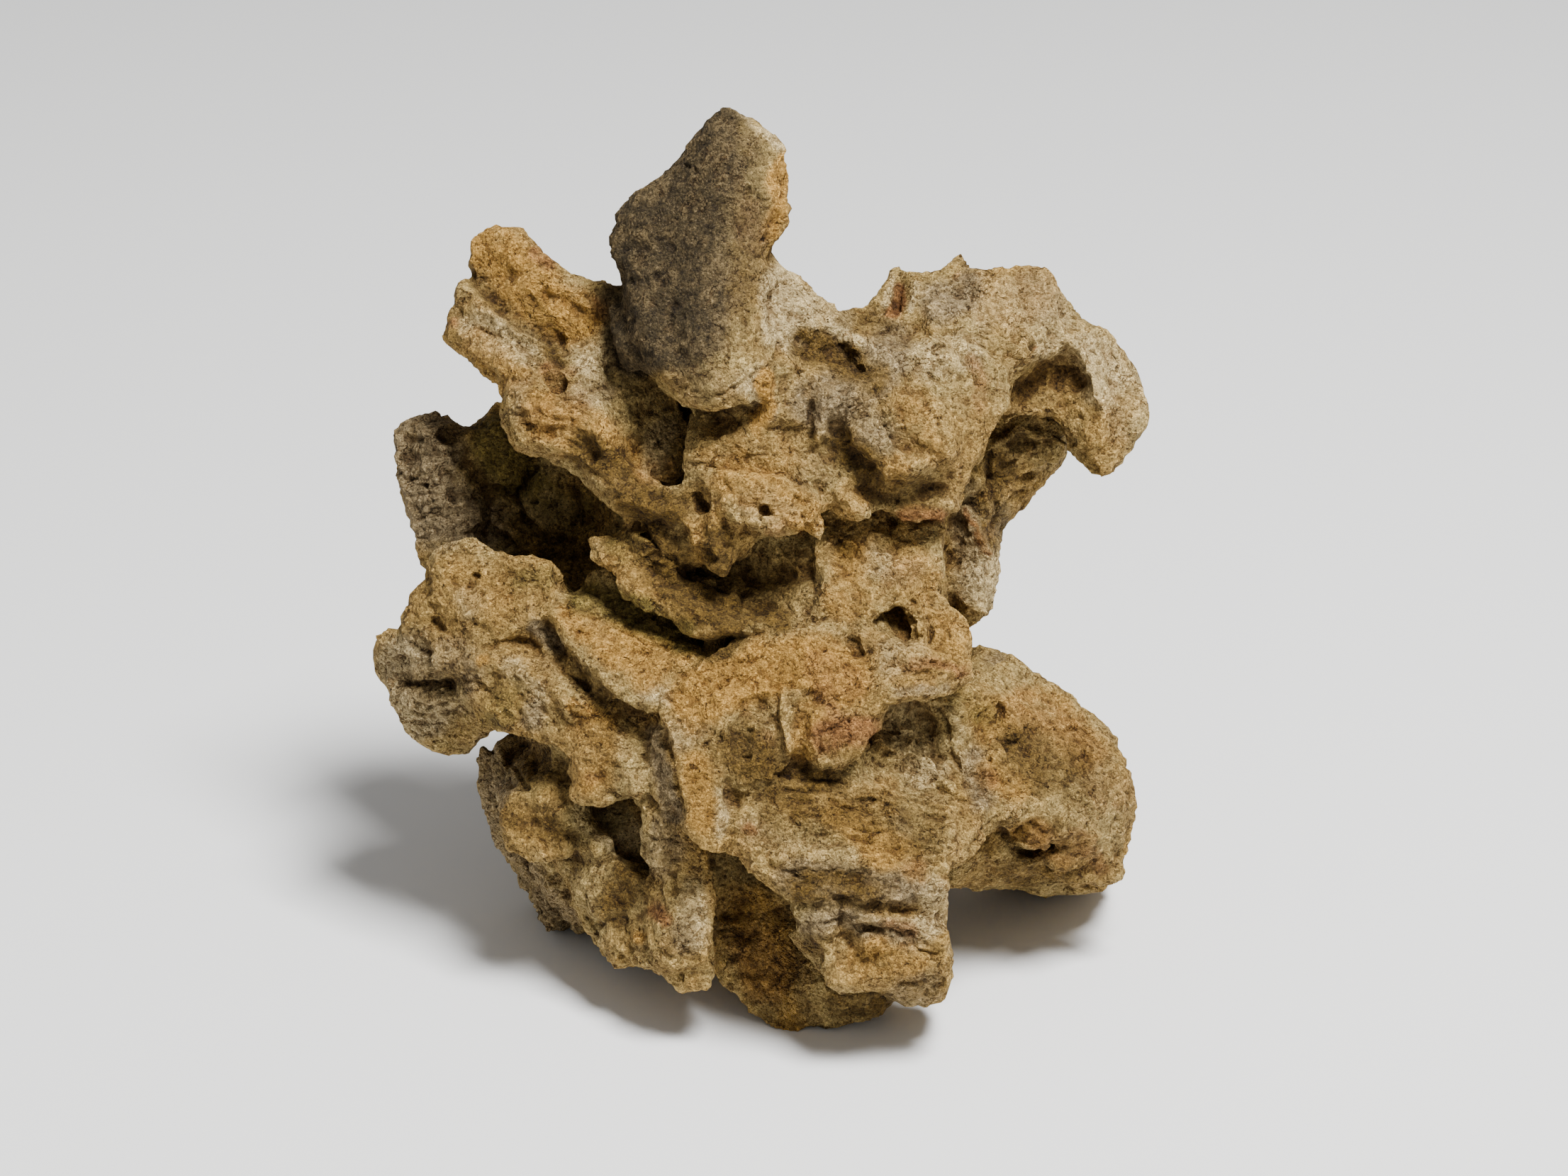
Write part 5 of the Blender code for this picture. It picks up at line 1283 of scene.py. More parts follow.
def relief_of_lower_left(relief):
    """The lower left: bulges, the layered grey wall, the recess and the pillar's flat faces."""
    each(relief.line,
        (1.6, (-63, -60), (-61.6, -66.6), (-56, -69.6), (-50, -69.4)),
        (0.9, (-60, -56), (-54, -57), (-48, -60)), (-0.8, (-57, -63), (-51, -64.6), (-46, -66)),
        (1.0, (-66.6, -46), (-66, -54), (-65, -61), (-63, -70)),
        (-1.4, (-63.6, -46), (-61.6, -51), (-59, -54)), (-1.2, (-60, -73), (-55, -79), (-51.6, -86)),
        (1.2, (-55, -73.6), (-50.6, -79.6), (-46.6, -86.6)),
        (-1.8, (-50.4, -76.6), (-46.6, -82.6), (-42, -88.4)), (1.4, (-47.4, -74), (-44, -80), (-40, -86)),
        (1.0, (-42, -76), (-36, -74.4), (-31, -77)), (-1.2, (-39.6, -86.6), (-34.4, -86.4), (-30.4, -84)),
        (1.0, (-37.6, -90), (-34.6, -95)), (-1.4, (-34, -89), (-32.4, -94)),
        (1.0, (-31.4, -88.6), (-29.4, -94)), (1.2, (-28, -60), (-26.4, -66), (-26, -71)),
        (-1.0, (-22.6, -64), (-21.6, -70)), (1.2, (-16, -72), (-15, -79), (-14.4, -86), (-14.6, -95)),
        (-1.0, (-23.4, -75), (-21.4, -79), (-23, -82)), (0.9, (-21, -86), (-20.6, -92), (-22, -97)),
        (-1.4, (-21.6, -99.4), (-17, -98.4), (-13.6, -99.4)))


def cut_upper(skin):
    """Cracks, pits and crisp lips of the horn, the left arm, the collar and the snout."""
    skin.crest(2.0, 0.7, (2.6, 100), (1.2, 90), (-1, 80), (-2.4, 68), (-3.2, 56))
    each(skin.pit,
        (1.4, 0.7, (-18, 99), (-16.6, 97.6)), (1.6, 0.8, (-26, 73), (-24.6, 70)), (1.2, 0.7, (-10, 86)),
        (1.3, 0.7, (-4, 92), (-3, 94)))
    skin.groove(3.2, 1.7, (-72, 73), (-67, 68), (-61, 62), (-55, 57.6), (-51, 52))
    skin.crest(1.8, 1.2, (-74, 69), (-69, 65), (-63, 61), (-57, 57.4), (-54, 55))
    skin.groove(2.6, 1.0, (-62, 73), (-57, 67), (-52, 60), (-48, 54))
    skin.crest(1.8, 1.0, (-59, 75), (-54, 70.6), (-47, 66.6), (-39, 64))
    skin.groove(1.2, 0.8, (-74, 62), (-67, 58.6), (-60, 55), (-54, 51))
    skin.crest(1.6, 0.9, (-37, 17.6), (-30, 16.8), (-23, 14.8), (-18, 12.6), (-16, 8))
    skin.groove(1.6, 1.2, (-45, 28), (-40, 23), (-36, 17.6))
    skin.crest(1.4, 0.8, (-60, 32.4), (-52, 31.6), (-45, 28.8), (-40, 23.6))
    skin.groove(1.2, 0.8, (-24, 46), (-19, 40.6), (-12, 39.2), (-5, 39.6))
    skin.crest(1.2, 0.7, (-9, 15), (-3, 11), (4, 10.4), (12, 13))
    each(skin.groove,
        (1.6, 1.0, (-9, 22), (-6, 18), (-4.6, 14)), (1.3, 0.9, (5, 21), (9, 18), (13, 17.6)),
        (1.0, 0.9, (-5, 13), (-4.4, 10.6)), (1.0, 0.9, (5, 13), (5.6, 10)),
        (1.0, 0.8, (10, 14.6), (10.6, 11.6)), (1.4, 1.2, (-19, 11), (-15.4, 9.6), (-13.4, 13)),
        (1.4, 1.2, (-13.6, 12), (-13.4, 6), (-11.6, 2)))
    skin.crest(1.2, 0.9, (-9, 12), (-8.4, 6), (-9.6, 0))
    each(skin.groove,
        (1.3, 1.0, (-36, 12), (-30, 11), (-25, 12.6)),
        (1.0, 1.0, (-19, 44.6), (-14, 43.2), (-10, 43.4), (-4, 47.6), (2, 50)),
        (1.2, 1.2, (-17, 26.2), (-12, 25.4), (-7, 25.8), (-3, 28.4), (1, 28.8)),
        (1.3, 1.6, (-43.6, 68), (-40.4, 65), (-37.4, 63.2), (-35, 62.6)),
        (1.0, 0.9, (-60.4, 80), (-61.6, 78), (-63.6, 77)))
    skin.pit(2.2, 2.2, (-51.4, 48), (-49.8, 45.4))
    for height in (34, 36.4, 39, 41.8, 44):
        skin.groove(
            0.8, 0.5, (-61.6, height + 0.6), (-55, height + 0.2), (-48, height - 1.4), (-42, height - 4.4)
        )
    skin.groove(0.9, 0.8, (-62.4, 43), (-63, 38), (-61.6, 34), (-59.6, 31.4))
    each(skin.pit,
        (1.4, 2.0, (0.6, 14.8), (1.8, 14.2)), (0.9, 1.4, (8.2, 14.2)), (0.8, 1.2, (-1.2, 13.2)),
        (1.6, 1.3, (-16, 18), (-15, 15.6)))
    each(skin.groove,
        (0.9, 0.9, (-18, 15.4), (-14.4, 13), (-13.2, 19)), (0.8, 0.8, (-32, 25), (-30.6, 22.6), (-27, 21.6)))
    skin.swell(1.6, 0.8, (-24, 29))
    skin.crest(0.8, 0.5, (-24, 40), (-12, 38.6), (-4, 38.8))


def cut_lobe(skin):
    """Cracks and pits of the right lobe, the right arm and the neck."""
    each(skin.pit,
        (1.1, 1.6, (67, 54.8)), (1.0, 1.0, (66, 56), (68, 54)), (1.6, 1.0, (44.6, 54.6)),
        (2.2, 1.0, (8.6, 56.6), (11, 55.6)))
    skin.groove(2.2, 1.8, (12, 43), (11.6, 36), (12, 30))
    each(skin.pit,
        (2.6, 1.0, (18.6, 35.6), (20.6, 31.6)), (2.6, 1.2, (21.6, 29.6), (26, 26)))
    each(skin.groove,
        (2.6, 1.8, (28.6, 44), (30, 38), (33, 33), (37.6, 29.6)),
        (2.2, 1.6, (39, 43.6), (43, 38), (46.6, 32)))
    skin.swell(3.6, -1.5, (25, 21), (29, 18.6), (36, 18), (43, 20.6))
    skin.pit(1.6, 1.4, (31.4, 36))
    each(skin.groove,
        (1.0, 0.8, (38, 50), (42, 48.6), (47, 47.6)), (1.0, 0.7, (48, 53), (51.4, 49), (52.4, 45.4)),
        (1.2, 1.2, (60.6, 52.6), (64, 51), (68, 53)))
    skin.swell(8, -2.4, (65, 44), (71, 47.4), (76, 48))
    skin.crest(1.6, 1.2, (75, 57), (78.6, 53), (81, 48), (83, 42), (84, 33))
    each(skin.groove,
        (1.0, 1.2, (57, 29), (56.6, 22), (58, 16)), (1.0, 1.0, (63, 33), (68, 31.6), (72, 32)),
        (0.9, 0.7, (28, 4.6), (33, 4), (38, 5)), (0.8, 0.7, (27.6, -3), (31, -3.4), (35.4, -2.6)),
        (0.8, 0.6, (36, 1.6), (38.4, 0.2), (41, -0.8)))
    each(skin.pit,
        (0.9, 1.0, (37.6, -7.4)), (2.0, 1.6, (21.8, -17.8), (22.6, -19.8)))
    each(skin.groove,
        (1.1, 2.0, (40.6, -12.6), (41.6, -15), (42.4, -17.6)),
        (1.4, 1.6, (46, 13), (45.6, 8), (46, 4), (45.2, 0), (44.4, -5), (47, -9)))
    skin.crest(1.4, 1.4, (36, -8), (38, -12), (40, -16))
    skin.groove(2.4, 3.0, (-30, 11), (-26, 5.6), (-21, 0.4), (-15, -2.2), (-9, -4.4))


def cut_left(skin):
    """Cracks, pits and clefts of the far left block and the lower left arm."""
    skin.crest(1.6, 1.0, (-52, -9), (-49.6, -14), (-45.6, -20), (-39, -27), (-31, -33))
    each(skin.groove,
        (1.4, 1.0, (-88, -17.6), (-84, -20), (-79, -21.6), (-73, -23)),
        (1.2, 0.9, (-82, -8), (-78, -10.6), (-74, -14), (-71, -18)),
        (1.2, 0.8, (-76, -26), (-70, -28.4), (-66, -33), (-62, -38)))
    for shift in range(4):
        skin.groove(1.0, 0.5, (-66 + 3.4 * shift, -25), (-60 + 3.4 * shift, -31), (-55 + 3.4 * shift, -38))
    for height in (33, 28.6, 24, 19, 13.6, 8):
        skin.groove(1.1, 0.8, (-90, height + 1), (-86, height - 1), (-81, height + 0.4), (-76, height - 1.6))
    each(skin.groove,
        (1.3, 2.2, (-55, 26), (-58, 21), (-60.6, 18), (-60.6, 15), (-57, 10.4), (-52, 8.2), (-46, 7.2)),
        (1.0, 1.4, (-60.6, 18), (-64, 20.4), (-68, 21.6)))
    each(skin.pit,
        (1.1, 1.8, (-56.4, 17)), (1.1, 1.8, (-83.6, 21.2)), (1.4, 1.6, (-70.8, -1)),
        (1.0, 1.2, (-68.8, -6.2)), (0.9, 1.0, (-64.6, -3.2)))
    each(skin.groove,
        (1.5, 1.8, (-80.6, -13), (-76.6, -17), (-74, -20), (-70, -19.4), (-63.6, -17.6), (-60, -17.6),
         (-55.6, -20), (-50, -24), (-43, -29.6)), (1.4, 2.2, (-88.8, -28), (-83, -28.6), (-77, -28.2)),
        (0.9, 0.9, (-53, -12), (-51.4, -16), (-48.6, -20)))
    for start in (-33, -35.6, -38, -40.6):
        skin.groove(0.8, 0.7, (-87, start + 1), (-82, start), (-77, start + 0.6))
    each(skin.groove,
        (0.9, 0.8, (-64, -34.6), (-61, -37.4), (-59, -40.6)),
        (0.9, 0.8, (-61.6, -32), (-59.6, -36), (-57.4, -40)),
        (1.0, 1.0, (-26, -29), (-23, -31.6), (-20.6, -33.6)))
    skin.pit(1.2, 1.2, (-26, -11), reach=10.0)
    skin.groove(0.8, 0.9, (-42, -12), (-35, -14), (-29, -18), (-22, -19.6))


def cut_bridge(skin):
    """Cracks and pits of the bridge and its foot."""
    each(skin.crest,
        (1.6, 1.0, (-19.6, -46), (-19, -55), (-18, -62), (-12, -68)),
        (1.4, 0.9, (-11, -48), (-10.4, -56), (-10, -63)),
        (1.6, 1.0, (14, -37), (12.6, -42), (14.6, -47), (19, -47), (25, -42)),
        (1.4, 0.8, (30, -31.6), (38, -30.4), (47, -28.8), (51, -26.4)))
    each(skin.groove,
        (1.3, 0.9, (26, -24), (33, -24.6), (40, -25.6), (46, -26.4)),
        (1.6, 1.2, (-25, -39), (-22, -45), (-21, -53), (-19.6, -61)),
        (0.9, 0.8, (-16, -27), (-10, -24.6), (-4, -23.4), (-1.6, -22)),
        (1.2, 1.0, (3.4, -28), (3.8, -35), (3.6, -42)), (0.9, 0.8, (-11, -29), (-6, -31), (-1, -33)))
    each(skin.pit,
        (1.5, 1.4, (-4, -46)), (1.2, 1.0, (-3, -39.4)), (1.3, 1.2, (-10, -40.6)), (1.0, 0.9, (-14, -42.6)))
    each(skin.groove,
        (0.8, 0.8, (-24.6, -42), (-22.6, -45), (-21, -50)), (0.8, 0.8, (18, -37.6), (16, -41), (14.4, -45)),
        (0.9, 1.0, (22, -40.6), (20.6, -44)), (0.8, 0.7, (30, -24), (36, -24.6), (41, -22.6), (47, -24)))
    for along in (40, 42.6, 45.4, 48):
        skin.pit(0.9, 0.7, (along, -22.6 - 0.1 * (along - 40)))


def cut_lower(skin):
    """Cracks, pits and layers of the slab, the leg, the pillar and the lower left."""
    skin.pit(1.6, 0.8, (58.8, -63), (59.6, -66))
    each(skin.groove,
        (1.2, 0.8, (61, -68.6), (63.6, -70), (68, -69.8), (71.4, -67.6), (72, -64)),
        (0.8, 0.7, (62.4, -64), (66, -62.8), (70, -64.6)), (0.8, 0.6, (62, -66.6), (66, -68), (70, -66.6)))
    each(skin.pit,
        (1.4, 1.2, (54, -32.4), (56, -32)), (1.2, 1.2, (59.4, -34), (59.8, -36)))
    skin.groove(1.2, 1.4, (43, -34), (46, -38), (46, -42), (46.4, -46), (48.6, -49))
    skin.pit(0.9, 1.2, (56.4, -47.6))
    for number in range(6):
        lower = 2.7 * number
        skin.groove(
            0.9, 1.1 - 0.05 * number, (4 + number, -51 - lower), (18, -52 - lower),
            (32, -55.6 - lower), (44, -59 - lower),
        )
    skin.groove(0.9, 0.9, (30, -36), (33, -39), (38, -40))
    each(skin.crest,
        (1.3, 1.2, (28, -42.6), (31.6, -44), (34.6, -44.2), (37, -44.4), (41, -48.6), (45, -52.6),
         (50, -56.6)), (1.2, 1.0, (30.6, -49.4), (34.6, -44.2), (37.2, -40.6)),
        (1.1, 0.8, (40, -53.6), (47.4, -52.8)),
        (2.2, 0.6, (41.6, -32), (46, -35.4), (48.8, -38.4), (48.4, -44), (49.6, -47.4)),
        (1.4, 0.9, (57, -62), (63, -61.2), (70, -61), (74, -60)))
    each(skin.groove,
        (2.0, 1.6, (18, -81), (26, -82), (34, -83.6), (42, -84.6)),
        (0.9, 0.8, (24, -50), (28, -48), (31, -45.4)))
    skin.pit(1.2, 1.2, (21, -36.6))
    each(skin.groove,
        (1.0, 0.9, (8, -60), (10, -64), (9, -68)), (1.0, 1.2, (45, -76), (50, -72), (53, -66), (58, -60.6)),
        (0.9, 0.9, (72, -39), (80, -40), (85, -43)), (0.9, 0.8, (56, -52), (60, -55), (66, -54), (72, -57)),
        (1.0, 1.4, (25, -88), (32, -89), (38, -92), (43, -95)),
        (0.9, 0.9, (34, -87), (40, -88.6), (44, -90.6)),
        (0.9, 1.0, (30.6, -101.2), (36, -101.8), (41, -101), (45, -102)),
        (1.0, 1.0, (17, -92), (19, -88), (18.4, -84)))
    for height in (-73.6, -77.4, -81.4, -86):
        skin.groove(0.8, 0.6, (8, height), (16, height - 0.8), (26, height + 0.4), (36, height - 0.8))
    skin.groove(0.9, 1.0, (-13.4, -80), (-13.2, -90), (-12.6, -96))
    skin.pit(1.2, 1.0, (-20, -99.6))
    each(skin.groove,
        (0.9, 0.9, (-28, -66), (-22, -67), (-17, -69)), (1.0, 1.4, (-45, -83), (-42.6, -87), (-41, -91)),
        (0.9, 1.0, (-52, -84), (-48.6, -87.6), (-46, -90)))
    each(skin.pit,
        (1.0, 1.2, (-35, -96.4)), (0.9, 1.0, (-32, -96.4)))
    for along in range(4):
        skin.groove(0.8, 0.8, (-63 + 3 * along, -72 - 2 * along), (-58 + 3 * along, -78 - 2 * along),
                    (-55 + 3.4 * along, -85 - along))
    each(skin.groove,
        (0.9, 0.9, (-66.6, -43), (-67.4, -50), (-65, -57)), (0.9, 0.9, (-63.6, -43), (-62, -48), (-59, -52)))


RELIEFS = (
    relief_of_edges, relief_of_horn, relief_of_left_arm, relief_of_collar, relief_of_snout, relief_of_lobe,
    relief_of_right_arm, relief_of_right_back, relief_of_neck, relief_of_plate, relief_of_left_back,
    relief_of_lower_left_arm, relief_of_bridge, relief_of_slab, relief_of_leg, relief_of_lower_left,
)


def carve_relief(skin):
    """Raises and sinks the front by the drawn ridges and valleys."""
    relief = Relief()
    for draw in RELIEFS:
        draw(relief)
    soft = skin.averaged(skin.normals, RELIEF_ROUNDS)
    soft[:, 1] -= RELIEF_LEAN
    soft /= np.linalg.norm(soft, axis=1)[:, None].clip(1e-6)
    height = relief.heights_at(skin.u, skin.v) * skin.in_front()
    skin.points += soft * height[:, None]
    skin.renew()


def weathering_masks(skin):
    """Stores where the stone is scarred, crumbly or layered."""
    count = len(skin.points)
    wear = np.full(count, 0.8)
    crumble = np.full(count, 0.06)
    bedding = np.full(count, 0.15)
    for amount, width, *path in (
        (-0.3, 16, (-12, 104), (-18, 84), (-16, 62), (-12, 48)), (-0.9, 8, (-64, 29)), (-0.9, 8, (-53, 16)),
        (-0.6, 10, (-70, 72), (-58, 60)), (-0.6, 9, (90, 46), (88, 34)), (0.6, 10, (20, 48), (26, 36)),
        (0.6, 10, (-84, 30), (-80, 14)), (0.7, 7, (-2, -60), (0, -72)), (0.5, 12, (-84, -20), (-80, -36)),
        (0.6, 9, (-4, -44), (-6, -52)),
    ):
        skin.paint(wear, amount, width, *path)
    for amount, width, *path in (
        (0.9, 11, (-82, 33), (-78, 20), (-74, 12)), (0.9, 6, (-4, -60), (-1, -72)),
        (0.8, 7, (-84, -10), (-86, -20)), (0.7, 9, (-46, -34), (-38, -38)), (0.8, 8, (-6, -42), (-2, -50)),
        (0.7, 8, (24, 46), (14, 44)), (0.8, 6, (-8, 43), (0, 48)), (0.7, 8, (10, 52), (20, 54)),
        (0.8, 7, (-36, -92), (-30, -90)), (0.7, 7, (-24, -36), (-22, -44)), (0.7, 6, (6, -6)),
        (0.6, 9, (56, -46), (52, -38)), (0.6, 6, (-56, 7)), (0.6, 8, (12, -64)),
        (-0.4, 15, (-12, 100), (-18, 84), (-16, 62), (-14, 52)), (-1.0, 8, (-64, 29), (-53, 16)),
        (0.5, 20, (10, 40, -60), (-10, -20, -60)),
    ):
        skin.paint(crumble, amount, width, *path, reach=16.0)
    for amount, width, *path in (
        (0.9, 8, (-60, 38), (-48, 37), (-42, 32)), (0.8, 9, (8, -76), (30, -79), (42, -80)),
        (0.8, 9, (30, -88), (40, -92)), (0.8, 9, (62, 28), (54, 10), (52, -6)),
        (0.8, 8, (-84, -32), (-80, -40)), (0.7, 9, (-66, -50), (-60, -76), (-50, -86)),
        (0.6, 8, (-24, -60), (-22, -70)), (0.6, 9, (-36, 4), (-26, -2)), (0.5, 8, (-30, -10), (-24, -16)),
        (0.3, 15, (-12, 100), (-18, 84), (-16, 62)), (-1.0, 8, (-64, 29), (-53, 16)),
    ):
        skin.paint(bedding, amount, width, *path, reach=16.0)
    skin.store("wear", wear)
    skin.store("crumble", crumble)
    skin.store("bedding", bedding)
